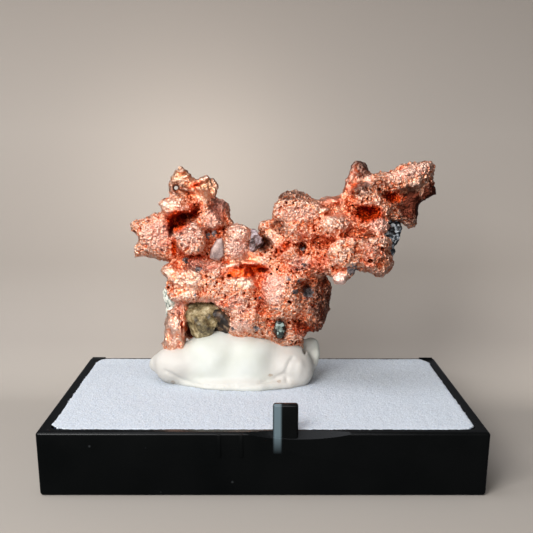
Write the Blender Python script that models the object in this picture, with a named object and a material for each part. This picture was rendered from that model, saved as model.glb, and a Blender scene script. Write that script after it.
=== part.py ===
"""Native copper nugget, held up by a mound of putty on the foam of a small specimen box base.

The nugget is one grown mass of copper with its own small stones caught in it.  It stands in
the putty, the putty sits on the foam pad, and the pad fills the black plastic tray.

World frame: origin at the middle of the tray's underside, +X to the right, +Y to the back,
+Z up.  Lengths in the tables are millimetres; MM turns them into Blender's metres.
"""
from collections import namedtuple
from math import copysign, radians, sqrt

import bmesh
import bpy
from mathutils import Euler, Matrix, Vector, noise

MM = 0.001

# ---- Driving dimensions, millimetres ------------------------------------------------------
TRAY_WIDTH = 82.0
TRAY_DEPTH = 60.0
TRAY_HEIGHT = 12.0
TRAY_DRAFT = 0.5            # each wall leans out by this much over the tray's height
TRAY_WALL = 1.7
TRAY_FLOOR = 1.2
TRAY_EDGE_ROUND = 0.6
WELL_CORNER_ROUND = 1.6
FIT_GAP = 0.3               # clear space between pieces that lie against each other

LATCH_CENTRE_X = 4.0
LATCH_WIDTH = 4.6
LATCH_THICK = 1.6
LATCH_FOOT = 7.5
LATCH_TOP = 17.2
LATCH_SETBACK = 0.15        # the post stands this far behind the front face
LATCH_EDGE_ROUND = 0.5
SCOOP_CENTRE_X = 3.5        # the dip for a thumb in the front rim
SCOOP_HALF_WIDTH = 13.0
SCOOP_DROP = 1.3
SCOOP_SLOPE = 1.1           # the dip is a chamfer that climbs this much per mm inwards
SCOOP_BEFORE = 2.0          # how far its cutter reaches before and behind the front face
SCOOP_BEHIND = 4.0
SCOOP_STEPS = 24
HINGE_NUB_RADIUS = 0.9
HINGE_NUB_LENGTH = 3.0
HINGE_NUB_RISE = 0.35       # above the rim
HINGE_NUB_SIDE_INSET = 0.7
HINGE_NUB_BACK_INSET = 0.1

FOAM_TOP = 12.0
FOAM_CORNER_ROUND = 1.2
PUTTY_BOTTOM = FOAM_TOP + FIT_GAP

# Lumps are laid out on an upright measuring plane, PLANE_Y behind the tray's middle, and each
# is then set back or forward to its own depth along the line from an eye in front of the
# object, so that near and far lumps keep their places beside each other.
PLANE_Y = 5.0
EYE_HEIGHT = 66.0
EYE_REACH = 210.0           # from the eye to the plane

LUMP_KNOBBLE = 0.16         # how far a lump strays from a smooth ball
LUMP_KNOBBLE_PITCH = 1.7    # how many times it strays across the ball
PLATE_DRAW_IN = 0.86        # a plate's two faces are this much smaller than its middle
PLATE_SPREAD = 1.03         # and its middle this much larger than its outline
PLATE_SHOULDER = 0.3        # where the faces start to draw in, as a part of the thickness

COPPER_VOXEL = 0.36         # the finest form that is kept when lumps are fused
STONE_VOXEL = 0.3
PUTTY_VOXEL = 0.8
COPPER_BUMPS = [(4.5, 0.9), (1.8, 0.5)]      # (size of the bumps, their height)
STONE_BUMPS = [(2.2, 0.5)]
PUTTY_BUMPS = [(7.0, 0.5)]
POCKET_GROW = 0.55          # the putty's pocket is this much wider than the copper
COPPER_TRIANGLES = 6800
STONE_TRIANGLES = 150
PUTTY_TRIANGLES = 1000
POCKET_TRIANGLES = 2000

Lump = namedtuple("Lump", "name at size tilt turn", defaults=(0.0, 0.0))
Plate = namedtuple("Plate", "name middle thick outline")

# ---- The copper: lumps (centre, half sizes, tilt in front view, turn seen from above) -----
LEFT_CLUSTER = [
    Lump("block upper knob", (-25.9, 8.0, 45.6), (1.5, 1.6, 1.5)),
    Lump("block lower knob", (-25.5, 8.0, 41.1), (1.6, 1.8, 1.5)),
    Lump("block face", (-22.4, 6.6, 44.0), (3.6, 2.2, 3.8), 10),
    Lump("bean lobe", (-18.5, 7.3, 49.9), (2.9, 2.7, 2.3)),
    Lump("top knob", (-17.0, 8.5, 55.2), (2.4, 2.2, 2.9), 10),
    Lump("top knob neck", (-16.6, 9.0, 52.4), (2.2, 2.2, 1.8)),
    Lump("knob bridge", (-14.4, 8.4, 54.0), (1.8, 2.0, 1.7)),
    Lump("curled lobe", (-12.0, 7.5, 54.0), (2.7, 2.6, 2.3), -20),
    Lump("curled lobe root", (-12.8, 8.5, 51.6), (2.8, 2.8, 2.0)),
    Lump("cavity back", (-17.4, 12.8, 47.6), (3.6, 2.4, 3.4)),
    Lump("disc", (-15.4, 5.2, 43.5), (3.5, 3.0, 3.3)),
    Lump("block hinge", (-16.8, 8.4, 39.0), (2.3, 3.2, 1.8)),
    Lump("shoulder lump", (-5.2, 5.5, 44.4), (3.0, 2.8, 2.1), -14),
    Lump("shoulder lower", (-6.2, 6.0, 41.2), (3.1, 3.2, 3.4)),
    Lump("left neck", (-11.5, 10.5, 42.5), (6.8, 4.5, 5.5)),
    Lump("left neck top", (-13.6, 11.5, 48.8), (4.2, 3.0, 3.6)),
    Lump("left rear boss", (-18.2, 13.0, 43.6), (4.6, 3.2, 4.4)),
]

MIDDLE = [
    Lump("small peak", (0.7, 7.0, 45.6), (1.9, 2.2, 1.8)),
    Lump("peak root", (2.2, 6.0, 43.3), (2.3, 2.4, 1.9), -30),
    Lump("saddle lump", (-1.0, 8.5, 41.4), (3.6, 3.6, 3.2)),
    Lump("under flange", (5.2, 6.0, 40.2), (3.2, 3.2, 2.6)),
    Lump("waist", (4.0, 9.0, 38.6), (9.0, 5.5, 4.5)),
    Lump("waist left", (-6.0, 9.5, 38.0), (7.0, 5.0, 4.0)),
    Lump("red slope", (11.2, 5.5, 38.8), (3.4, 4.0, 3.6)),
]

RIGHT_ARM = [
    Lump("block face low", (5.4, 4.6, 49.4), (2.8, 2.4, 2.4)),
    Lump("block face high", (9.0, 5.0, 49.0), (2.8, 2.6, 2.6)),
    Lump("block under", (7.0, 6.0, 45.4), (4.6, 4.0, 3.2)),
    Lump("saddle", (14.2, 8.0, 49.8), (4.0, 3.0, 2.1), 8),
    Lump("nodule cluster", (21.8, 6.0, 53.0), (3.4, 3.0, 3.2)),
    Lump("wing root", (25.4, 7.5, 52.4), (3.2, 3.0, 3.8)),
    Lump("nodule bridge", (24.3, 6.4, 49.2), (2.8, 3.2, 2.6)),
    Lump("wing upper face", (29.0, 6.0, 56.4), (5.4, 2.4, 2.2), 15),
    Lump("wing tooth", (30.2, 7.5, 48.8), (1.9, 2.2, 2.8)),
    Lump("smooth lump", (14.8, 4.0, 46.8), (3.4, 3.0, 2.0)),
    Lump("arm core", (17.5, 8.0, 45.2), (8.6, 4.8, 4.8)),
    Lump("arm end lump", (23.0, 4.0, 46.0), (3.3, 3.0, 2.3), -10),
    Lump("near lump left", (16.7, -0.5, 40.4), (3.8, 3.6, 3.1)),
    Lump("near lump right", (22.6, -1.0, 39.8), (3.5, 3.2, 3.2)),
    Lump("end knob high", (25.2, -1.0, 42.0), (1.4, 1.5, 0.9), 20),
    Lump("end knob low", (24.6, -1.5, 37.5), (1.8, 1.8, 1.7)),
    Lump("arm underside", (15.2, 3.5, 38.4), (3.8, 4.0, 2.8)),
    Lump("bead", (16.3, -0.6, 34.7), (1.3, 1.3, 1.3)),
    Lump("bead stalk", (17.4, 0.0, 35.6), (1.7, 1.4, 1.1), 25),
    Lump("bead root", (15.6, 2.0, 36.6), (1.8, 2.0, 1.6)),
]

TORSO = [
    Lump("torso left", (-13.3, 9.0, 34.2), (6.2, 5.6, 4.3)),
    Lump("fold lump", (-15.4, 4.8, 34.8), (4.3, 3.2, 2.9), 8),
    Lump("fold roll", (-15.2, 4.6, 31.2), (4.5, 3.0, 1.8), -6),
    Lump("curl knob", (-19.8, 5.8, 36.4), (1.4, 1.6, 1.3)),
    Lump("torso middle", (-5.2, 8.5, 32.8), (6.5, 6.0, 7.0)),
    Lump("torso face", (-5.0, 4.2, 31.0), (4.6, 2.8, 5.0)),
    Lump("bulge", (4.2, 5.0, 31.2), (4.9, 5.2, 6.2)),
    Lump("torso right", (10.0, 8.0, 30.6), (4.3, 6.0, 6.4)),
    Lump("right nodules", (10.5, 5.5, 25.7), (2.1, 2.3, 1.7)),
    Lump("ring knob", (7.8, 1.4, 35.2), (1.4, 1.3, 1.3)),
    Lump("leg upper", (-18.5, 5.8, 25.6), (2.4, 2.6, 3.0)),
    Lump("leg lower", (-18.6, 6.6, 21.6), (2.4, 2.6, 3.0)),
    Lump("window post", (-5.2, 5.2, 25.6), (2.4, 3.0, 3.4)),
    Lump("foot front", (-0.6, 5.6, 26.0), (3.4, 3.4, 3.6)),
    Lump("foot middle", (-3.0, 9.0, 22.0), (6.0, 4.4, 4.2)),
    Lump("foot right", (4.6, 6.6, 24.0), (4.8, 4.2, 3.0)),
    Lump("foot right root", (4.6, 9.0, 21.0), (4.4, 3.6, 3.0)),
    Lump("behind window", (-11.5, 12.5, 26.0), (6.4, 3.4, 7.0)),
]

REAR = [
    Lump("rear boss left", (-14.0, 15.2, 33.6), (4.2, 3.4, 4.2), 15),
    Lump("rear boss middle", (-4.5, 15.6, 37.5), (5.0, 3.4, 4.0), -20),
    Lump("rear boss low", (1.5, 15.6, 29.6), (4.0, 3.6, 4.8)),
    Lump("rear boss right", (9.4, 14.6, 34.0), (3.8, 3.4, 3.8), 30),
    Lump("rear foot", (-6.0, 13.2, 23.4), (5.6, 3.2, 4.4)),
    Lump("rear arm boss", (16.5, 12.6, 46.2), (4.8, 3.0, 3.2), 10),
    Lump("rear arm knob", (8.0, 13.0, 46.2), (3.8, 3.4, 3.6)),
    Lump("rear wing boss", (27.5, 10.4, 54.4), (3.4, 2.0, 2.6), 15),
    Lump("rear neck knob", (-9.0, 15.0, 44.0), (2.8, 2.6, 3.4), 20),
]

# Flat-sided masses: depth of the middle, thickness and outline as seen from in front.
PLATES = [
    Plate("left block", 8.5, 6.0, [
        (-26.2, 46.8), (-24.2, 47.2), (-22.7, 48.5), (-20.4, 48.2), (-19.4, 46.0), (-18.6, 43.5),
        (-17.7, 40.5), (-18.2, 38.8), (-20.5, 39.4), (-25.2, 39.8), (-26.0, 41.6), (-25.7, 44.0)]),
    Plate("back shoulder", 12.0, 4.0, [
        (-11.5, 51.9), (-9.3, 51.8), (-7.9, 51.1), (-7.2, 49.5), (-6.2, 46.6), (-5.4, 43.0),
        (-11.5, 43.0)]),
    Plate("ridge", 7.2, 3.6, [(-11.9, 50.6), (-14.2, 46.4), (-8.6, 45.8), (-10.0, 48.2)]),
    Plate("flange", 4.4, 2.2, [(0.6, 40.4), (1.8, 39.4), (7.0, 42.8), (7.2, 44.4), (5.8, 44.9)]),
    Plate("right block", 8.5, 7.5, [
        (2.4, 46.2), (2.2, 49.0), (2.7, 50.8), (3.5, 51.4), (3.6, 52.4), (4.6, 53.1), (7.0, 53.2),
        (8.8, 52.4), (11.2, 51.2), (16.0, 52.0), (18.0, 49.0), (17.0, 45.0), (10.0, 42.5),
        (3.8, 44.0)]),
    Plate("fin", 8.5, 4.0, [
        (16.0, 50.0), (16.1, 54.0), (16.6, 55.8), (17.3, 56.8), (17.7, 58.4), (18.5, 59.4),
        (19.6, 59.7), (20.6, 59.5), (21.1, 58.4), (21.8, 56.2), (22.2, 53.0), (20.0, 49.5)]),
    Plate("wing", 7.8, 4.6, [
        (22.0, 50.5), (22.2, 55.8), (24.2, 56.5), (26.2, 56.8), (28.2, 58.2), (30.0, 58.9),
        (32.6, 59.0), (34.2, 59.6), (35.0, 59.3), (35.5, 58.0), (35.1, 56.2), (35.4, 54.3),
        (36.0, 53.0), (34.0, 51.8), (32.3, 50.8), (31.9, 49.0), (31.9, 47.0), (31.6, 46.3),
        (30.4, 46.4), (28.6, 47.4), (26.6, 47.9), (24.6, 48.6)]),
    Plate("leg", 6.2, 4.6, [
        (-20.8, 18.0), (-20.9, 21.0), (-20.5, 23.8), (-20.9, 25.6), (-20.2, 26.8), (-18.7, 29.0),
        (-18.9, 31.5), (-15.4, 31.0), (-16.4, 27.2), (-16.1, 24.0), (-16.0, 22.0), (-16.8, 18.0)]),
]

# Hollows cut out of the fused copper.
HOLLOWS = [
    Lump("left cavity", (-18.8, 4.6, 46.2), (1.9, 6.5, 3.1), -24),
    Lump("left cavity wing", (-16.4, 5.0, 47.9), (3.6, 5.6, 1.4), 16),
    Lump("bean hollow", (-16.4, 4.8, 50.4), (1.0, 1.4, 0.6)),
    Lump("top knob eye", (-18.2, 8.0, 53.9), (0.75, 5.0, 1.1)),
    Lump("crystal slot", (-10.9, 3.4, 41.0), (0.7, 3.6, 1.9), 10),
    Lump("disc undercut", (-13.6, 2.8, 39.4), (3.4, 2.2, 0.8), 4),
    Lump("ledge undercut", (-3.2, 2.2, 36.6), (4.8, 3.2, 0.9), 4),
    Lump("ledge shadow", (-0.4, 2.6, 36.3), (1.6, 4.6, 1.0)),
    Lump("peak gap", (-0.2, 4.8, 42.0), (1.2, 3.6, 1.6), -40),
    Lump("flange slot", (5.6, 3.0, 41.8), (2.4, 2.6, 0.7), 38),
    Lump("body crevice", (-1.5, 1.6, 31.3), (0.7, 2.0, 2.2), 24),
    Lump("red cavity", (21.4, 3.4, 49.0), (3.2, 3.0, 1.3), 4),
    Lump("wing recess", (26.6, 4.2, 52.2), (1.9, 3.0, 1.0), -12),
    Lump("arm slit", (24.2, 1.2, 42.8), (3.0, 2.4, 0.6), 14),
    Lump("arm crevice", (17.4, 1.6, 43.8), (2.6, 1.6, 0.5), 4),
    Lump("curl knob hollow", (-19.9, 4.2, 36.0), (0.7, 1.4, 0.7)),
    Lump("curled ring hollow", (-19.2, 2.8, 33.2), (0.6, 1.4, 0.9)),
    Lump("ring knob eye", (7.7, 0.2, 35.3), (0.45, 1.0, 0.45)),
    Lump("green pocket", (9.4, 3.0, 32.2), (1.1, 2.6, 2.0)),
    Lump("foot notch", (1.6, 1.8, 24.0), (1.0, 2.6, 2.6)),
]

WINDOW = Plate("window", 0.5, 9.0, [
    (-16.0, 22.5), (-16.2, 25.5), (-15.9, 27.6), (-14.6, 28.9), (-12.9, 29.0), (-11.5, 28.0),
    (-10.4, 28.2), (-9.3, 28.9), (-7.8, 28.4), (-6.8, 26.8), (-7.2, 24.6), (-7.8, 22.5)])

# ---- Small stones of the matrix, each caught in the copper --------------------------------
OLIVE_STONE = [Lump("olive stone", (-13.0, 6.0, 26.2), (3.5, 3.2, 3.3), 10)]
BROWN_STONE = [Lump("brown stone", (-8.7, 7.2, 26.2), (2.5, 3.0, 3.1), -10)]
GREEN_ROCK = [
    Lump("green rock", (-18.0, 11.0, 30.4), (2.9, 3.0, 2.8)),
    Lump("green rock foot", (-18.8, 10.0, 28.2), (2.0, 2.2, 1.8)),
]
DARK_ROCK = [
    Lump("dark rock", (25.4, 8.2, 43.8), (3.3, 3.2, 3.4), -30),
    Lump("dark rock foot", (26.0, 7.6, 41.0), (1.9, 2.2, 1.7)),
]
FOOT_STONE = [Lump("foot stone", (3.2, 3.9, 24.0), (1.5, 2.0, 2.2))]
QUARTZ = [Lump("quartz", (-9.5, 4.4, 41.0), (1.2, 1.7, 1.9), 10)]
GREY_STONE = [Lump("grey stone", (-2.0, 5.6, 43.0), (1.4, 2.3, 2.1), 20)]

STONES = [
    ("olive_stone", OLIVE_STONE, (0.42, 0.40, 0.28)),
    ("brown_stone", BROWN_STONE, (0.16, 0.12, 0.07)),
    ("green_rock", GREEN_ROCK, (0.33, 0.36, 0.31)),
    ("dark_rock", DARK_ROCK, (0.10, 0.12, 0.14)),
    ("foot_stone", FOOT_STONE, (0.16, 0.22, 0.19)),
    ("quartz_crystal", QUARTZ, (0.50, 0.48, 0.46)),
    ("grey_stone", GREY_STONE, (0.28, 0.28, 0.33)),
]

# ---- The putty ----------------------------------------------------------------------------
PUTTY = [
    Lump("mound", (-5.5, 8.8, 15.0), (16.2, 9.6, 6.6)),
    Lump("crest left", (-11.4, 6.0, 18.6), (4.6, 4.6, 5.2)),
    Lump("crest middle", (-5.4, 5.6, 18.6), (6.4, 4.8, 5.2)),
    Lump("crest right", (1.8, 5.4, 17.4), (6.0, 5.0, 4.6)),
    Lump("crest step", (6.8, 7.6, 18.2), (3.2, 4.6, 3.8)),
    Lump("left lobe", (-17.6, 7.2, 16.6), (6.0, 5.8, 4.3), 10),
    Lump("left lobe tip", (-21.8, 9.2, 16.6), (2.6, 3.2, 2.0), 20),
    Lump("right bulge", (7.0, 5.6, 15.0), (3.8, 4.8, 4.4)),
    Lump("right bump", (6.4, 2.8, 15.8), (2.6, 2.6, 2.8)),
    Lump("right flap", (9.0, 12.4, 18.4), (3.1, 2.4, 4.9), -8),
    Lump("front roll", (-5.0, 3.4, 13.0), (13.4, 4.4, 2.8)),
    Lump("rear roll", (-4.0, 14.5, 16.0), (12.5, 4.8, 5.8)),
]


def set_back(at):
    """A point of the measuring plane, moved along the eye's line to its own depth."""
    spread = 1.0 + (at[1] - PLANE_Y) / EYE_REACH
    return Vector((at[0] * spread, at[1], EYE_HEIGHT - (EYE_HEIGHT - at[2]) * spread))


# ---- Making and combining meshes ----------------------------------------------------------
def new_object(name, bm):
    """A mesh object made from the bmesh, with its faces pointing out."""
    bmesh.ops.recalc_face_normals(bm, faces=bm.faces)
    mesh = bpy.data.meshes.new(name)
    bm.to_mesh(mesh)
    bm.free()
    obj = bpy.data.objects.new(name, mesh)
    bpy.context.collection.objects.link(obj)
    return obj


def apply_modifiers(obj):
    """Replace the object's mesh with what its modifiers make of it."""
    graph = bpy.context.evaluated_depsgraph_get()
    mesh = bpy.data.meshes.new_from_object(obj.evaluated_get(graph))
    old = obj.data
    obj.modifiers.clear()
    obj.data = mesh
    bpy.data.meshes.remove(old)


def combine(obj, other, operation):
    """Unite another closed body with the object, or cut it out, and use that body up."""
    boolean = obj.modifiers.new("Combine", 'BOOLEAN')
    boolean.operation = operation
    boolean.solver = 'EXACT'
    boolean.object = other
    apply_modifiers(obj)
    mesh = other.data
    bpy.data.objects.remove(other)
    bpy.data.meshes.remove(mesh)


def bevel(obj, width, segments):
    """Round the object's edges."""
    rounding = obj.modifiers.new("Rounded edges", 'BEVEL')
    rounding.width = width * MM
    rounding.segments = segments
    apply_modifiers(obj)


def fuse(obj, voxel, soften=0):
    """Join the overlapping bodies of a mesh in one skin and soften it that many times."""
    remesh = obj.modifiers.new("Fuse", 'REMESH')
    remesh.mode = 'VOXEL'
    remesh.voxel_size = voxel * MM
    if soften:
        smooth = obj.modifiers.new("Soften", 'SMOOTH')
        smooth.iterations = soften
    apply_modifiers(obj)


def keep_largest(obj):
    """Drop crumbs that hang apart from the main body."""
    bm = bmesh.new()
    bm.from_mesh(obj.data)
    seen = set()
    islands = []
    for start in bm.verts:
        if start in seen:
            continue
        island = [start]
        seen.add(start)
        for vert in island:
            for edge in vert.link_edges:
                other = edge.other_vert(vert)
                if other not in seen:
                    seen.add(other)
                    island.append(other)
        islands.append(island)
    islands.sort(key=len)
    for island in islands[:-1]:
        bmesh.ops.delete(bm, geom=island, context='VERTS')
    bm.to_mesh(obj.data)
    bm.free()


def roughen(obj, bumps):
    """Push the skin in and out along its normals by layers of bumps (size, height)."""
    mesh = obj.data
    moved = []
    for vert in mesh.vertices:
        push = 0.0
        for layer, (size, height) in enumerate(bumps):
            apart = Vector((layer * 7.3, 0.0, layer * 3.1))
            push += height * noise.noise(vert.co / (size * MM) + apart)
        moved.append(vert.co + vert.normal * push * MM)
    for vert, co in zip(mesh.vertices, moved):
        vert.co = co


def thin_out(obj, triangles):
    """Bring the mesh down to about this many triangles."""
    bm = bmesh.new()
    bm.from_mesh(obj.data)
    bmesh.ops.triangulate(bm, faces=bm.faces)
    count = len(bm.faces)
    bm.to_mesh(obj.data)
    bm.free()
    thin = obj.modifiers.new("Thin out", 'DECIMATE')
    thin.ratio = min(1.0, triangles / count)
    thin.use_collapse_triangulate = True
    apply_modifiers(obj)


def finish(obj, name, colour, roughness, metallic=0.0):
    """Give the object its one surface material."""
    surface = bpy.data.materials.new(name)
    surface.use_nodes = True
    shader = surface.node_tree.nodes["Principled BSDF"]
    shader.inputs["Base Color"].default_value = (*colour, 1.0)
    shader.inputs["Roughness"].default_value = roughness
    shader.inputs["Metallic"].default_value = metallic
    surface.diffuse_color = (*colour, 1.0)
    obj.data.materials.clear()
    obj.data.materials.append(surface)


# ---- Lumps, plates and blocks -------------------------------------------------------------
def add_lump(bm, lump, grow=0.0):
    """Add one lump: a ball made a little knobbly, stretched, tilted and set in its place."""
    ball = bmesh.ops.create_icosphere(bm, subdivisions=3, radius=1.0)
    size = [(half + grow) * MM for half in lump.size]
    turned = Euler((0.0, radians(-lump.tilt), radians(lump.turn))).to_matrix().to_4x4()
    place = Matrix.Translation(set_back(lump.at) * MM) @ turned @ Matrix.Diagonal((*size, 1.0))
    for vert in ball["verts"]:
        stray = noise.noise(vert.co * LUMP_KNOBBLE_PITCH + Vector(lump.at))
        vert.co = place @ (vert.co * (1.0 + LUMP_KNOBBLE * stray))


def add_loft(bm, rings):
    """Add a closed body through rings of points, given in mm, with flat ends."""
    rings = [[bm.verts.new(Vector(point) * MM) for point in ring] for ring in rings]
    count = len(rings[0])
    for near, far in zip(rings, rings[1:]):
        for i in range(count):
            j = (i + 1) % count
            bm.faces.new((near[i], near[j], far[j], far[i]))
    bm.faces.new(rings[0])
    bm.faces.new(rings[-1])


def add_plate(bm, plate, draw_in=PLATE_DRAW_IN):
    """Add one flat-sided mass: its outline swept from front to back, with drawn-in faces."""
    points = [Vector(point) for point in plate.outline]
    middle = sum(points, Vector((0.0, 0.0))) / len(points)
    sections = ((-0.5, draw_in), (-PLATE_SHOULDER, PLATE_SPREAD),
                (PLATE_SHOULDER, PLATE_SPREAD), (0.5, draw_in))
    rings = []
    for part, scale in sections:
        y = plate.middle + plate.thick * part
        spread = [middle + (point - middle) * scale for point in points]
        rings.append([set_back((x, y, z)) for x, z in spread])
    add_loft(bm, rings)


def add_block(bm, low, high):
    """Add a plain block between two corners given in mm, and return its corner vertices."""
    middle = (Vector(low) + Vector(high)) / 2.0
    size = Vector(high) - Vector(low)
    place = Matrix.Translation(middle * MM) @ Matrix.Diagonal((*(size * MM), 1.0))
    return bmesh.ops.create_cube(bm, size=1.0, matrix=place)["verts"]


def add_drafted_block(bm, inset, bottom, top):
    """Add a block of the tray's plan, drawn in by inset, with walls that lean out."""
    half_x = TRAY_WIDTH / 2.0 - inset
    half_y = TRAY_DEPTH / 2.0 - inset
    for vert in add_block(bm, (-half_x, -half_y, bottom), (half_x, half_y, top)):
        draw_in = TRAY_DRAFT * MM * (1.0 - vert.co.z / (TRAY_HEIGHT * MM))
        vert.co.x -= draw_in * copysign(1.0, vert.co.x)
        vert.co.y -= draw_in * copysign(1.0, vert.co.y)


def fused_lumps(name, lumps, voxel, plates=(), grow=0.0, soften=0):
    """One body fused from lumps and plates."""
    bm = bmesh.new()
    for lump in lumps:
        add_lump(bm, lump, grow)
    for plate in plates:
        add_plate(bm, plate)
    obj = new_object(name, bm)
    fuse(obj, voxel, soften)
    return obj


# ---- The sub-parts ------------------------------------------------------------------------
def stone(name, lumps, grow=0.0):
    """A small stone, or the pocket for one when grown by the fit gap."""
    obj = fused_lumps(name, lumps, STONE_VOXEL, grow=grow, soften=2)
    roughen(obj, STONE_BUMPS)
    return obj


def stones():
    """The stones of the matrix; the brown one makes room for its olive neighbour."""
    for name, lumps, colour in STONES:
        piece = stone(name, lumps)
        if lumps is BROWN_STONE:
            combine(piece, stone("neighbour", OLIVE_STONE, FIT_GAP), 'DIFFERENCE')
        thin_out(piece, STONE_TRIANGLES)
        finish(piece, name, colour, 0.7)


def stone_pockets():
    """The room that all the stones need, as one cutter."""
    every_stone = [lump for name, lumps, colour in STONES for lump in lumps]
    return stone("pockets", every_stone, FIT_GAP)


def copper_nugget():
    """The nugget: fused lumps and plates, less their hollows and the stones' pockets."""
    lumps = LEFT_CLUSTER + MIDDLE + RIGHT_ARM + TORSO + REAR
    nugget = fused_lumps("copper_nugget", lumps, COPPER_VOXEL, PLATES, soften=2)
    bm = bmesh.new()
    for hollow in HOLLOWS:
        add_lump(bm, hollow)
    add_plate(bm, WINDOW, draw_in=1.0)
    hollows = new_object("hollows", bm)
    fuse(hollows, COPPER_VOXEL)
    combine(nugget, hollows, 'DIFFERENCE')
    fuse(nugget, COPPER_VOXEL, 1)
    keep_largest(nugget)
    roughen(nugget, COPPER_BUMPS)
    fuse(nugget, COPPER_VOXEL)
    combine(nugget, stone_pockets(), 'DIFFERENCE')
    keep_largest(nugget)
    thin_out(nugget, COPPER_TRIANGLES)
    finish(nugget, "native copper", (0.72, 0.27, 0.15), 0.35, 1.0)
    return nugget


def room_for(nugget):
    """Nugget and stones as one plainer body, grown by the gap that the putty leaves them."""
    room = bpy.data.objects.new("room", nugget.data.copy())
    bpy.context.collection.objects.link(room)
    normals = [vert.normal.copy() for vert in room.data.vertices]
    for vert, normal in zip(room.data.vertices, normals):
        vert.co += normal * POCKET_GROW * MM
    fuse(room, COPPER_VOXEL)
    combine(room, stone_pockets(), 'UNION')
    thin_out(room, POCKET_TRIANGLES)
    return room


def mounting_putty(nugget):
    """The putty mound, pressed flat on the foam, with pockets for what stands in it."""
    mound = fused_lumps("mounting_putty", PUTTY, PUTTY_VOXEL, soften=2)
    roughen(mound, PUTTY_BUMPS)
    bm = bmesh.new()
    add_block(bm, (-TRAY_WIDTH, -TRAY_DEPTH, 0.0), (TRAY_WIDTH, TRAY_DEPTH, PUTTY_BOTTOM))
    combine(mound, new_object("underside", bm), 'DIFFERENCE')
    thin_out(mound, PUTTY_TRIANGLES)
    combine(mound, room_for(nugget), 'DIFFERENCE')
    keep_largest(mound)
    finish(mound, "white putty", (0.86, 0.84, 0.75), 0.7)


def foam_pad():
    """White foam pad that fills the tray's well up to the rim."""
    bm = bmesh.new()
    add_drafted_block(bm, TRAY_WALL + FIT_GAP, TRAY_FLOOR + FIT_GAP, FOAM_TOP)
    pad = new_object("foam_pad", bm)
    bevel(pad, FOAM_CORNER_ROUND, 3)
    finish(pad, "white foam", (0.72, 0.74, 0.80), 0.95)


def scoop():
    """The cutter for the thumb dip: a wedge with a round underside that climbs inwards."""
    radius = (SCOOP_HALF_WIDTH ** 2 + SCOOP_DROP ** 2) / (2.0 * SCOOP_DROP)
    front = -TRAY_DEPTH / 2.0
    rings = []
    for reach in (-SCOOP_BEFORE, SCOOP_BEHIND):
        ring = []
        for i in range(SCOOP_STEPS + 1):
            x = SCOOP_HALF_WIDTH * (2.0 * i / SCOOP_STEPS - 1.0)
            dip = SCOOP_DROP - radius + sqrt(radius ** 2 - x ** 2)
            ring.append((SCOOP_CENTRE_X + x, front + reach, TRAY_HEIGHT - dip + reach * SCOOP_SLOPE))
        for x, y, z in (ring[-1], ring[0]):
            ring.append((x, y, TRAY_HEIGHT * 2.0))
        rings.append(ring)
    bm = bmesh.new()
    add_loft(bm, rings)
    return new_object("scoop", bm)


def latch_post():
    """The upright catch for the lid, in the front wall."""
    front = -TRAY_DEPTH / 2.0 + LATCH_SETBACK
    half = LATCH_WIDTH / 2.0
    bm = bmesh.new()
    add_block(bm, (LATCH_CENTRE_X - half, front, LATCH_FOOT),
              (LATCH_CENTRE_X + half, front + LATCH_THICK, LATCH_TOP))
    post = new_object("latch post", bm)
    bevel(post, LATCH_EDGE_ROUND, 2)
    return post


def hinge_nub(side):
    """A short round nub lying in a back corner of the rim, where the lid would turn."""
    centre = Vector((side * (TRAY_WIDTH / 2.0 - HINGE_NUB_SIDE_INSET - HINGE_NUB_LENGTH / 2.0),
                     TRAY_DEPTH / 2.0 - HINGE_NUB_BACK_INSET - HINGE_NUB_RADIUS,
                     TRAY_HEIGHT + HINGE_NUB_RISE - HINGE_NUB_RADIUS))
    lying = Matrix.Translation(centre * MM) @ Matrix.Rotation(radians(90.0), 4, 'Y')
    bm = bmesh.new()
    bmesh.ops.create_cone(bm, cap_ends=True, segments=16, radius1=HINGE_NUB_RADIUS * MM,
                          radius2=HINGE_NUB_RADIUS * MM, depth=HINGE_NUB_LENGTH * MM,
                          matrix=lying)
    return new_object("hinge nub", bm)


def tray():
    """Black box base, one moulding: drafted tray, thumb dip, latch post and hinge nubs."""
    bm = bmesh.new()
    add_drafted_block(bm, 0.0, 0.0, TRAY_HEIGHT)
    body = new_object("tray", bm)
    bevel(body, TRAY_EDGE_ROUND, 3)
    bm = bmesh.new()
    add_drafted_block(bm, TRAY_WALL, TRAY_FLOOR, TRAY_HEIGHT * 2.0)
    well = new_object("well", bm)
    bevel(well, WELL_CORNER_ROUND, 3)
    combine(body, well, 'DIFFERENCE')
    combine(body, scoop(), 'DIFFERENCE')
    combine(body, latch_post(), 'UNION')
    for side in (-1.0, 1.0):
        combine(body, hinge_nub(side), 'UNION')
    finish(body, "black polystyrene", (0.012, 0.012, 0.013), 0.32)


def main():
    for obj in list(bpy.data.objects):
        bpy.data.objects.remove(obj)
    tray()
    foam_pad()
    stones()
    nugget = copper_nugget()
    mounting_putty(nugget)


if __name__ == "__main__":
    main()
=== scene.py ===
"""Native copper nugget in white putty, on the foam of a small black specimen box base.

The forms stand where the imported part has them, laid out in the same lumps and plates; this
script gives them their fine skin.  World frame: metres, origin at the middle of the tray's
underside, +X to the right, +Y to the back, +Z up.  Lengths below are millimetres.
"""
from collections import namedtuple
from functools import partial
from math import copysign, cos, hypot, pi, radians, sin, sqrt

import bmesh
import bpy
import numpy as np
from mathutils import Euler, Matrix, Vector, noise
from mathutils.bvhtree import BVHTree


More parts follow.
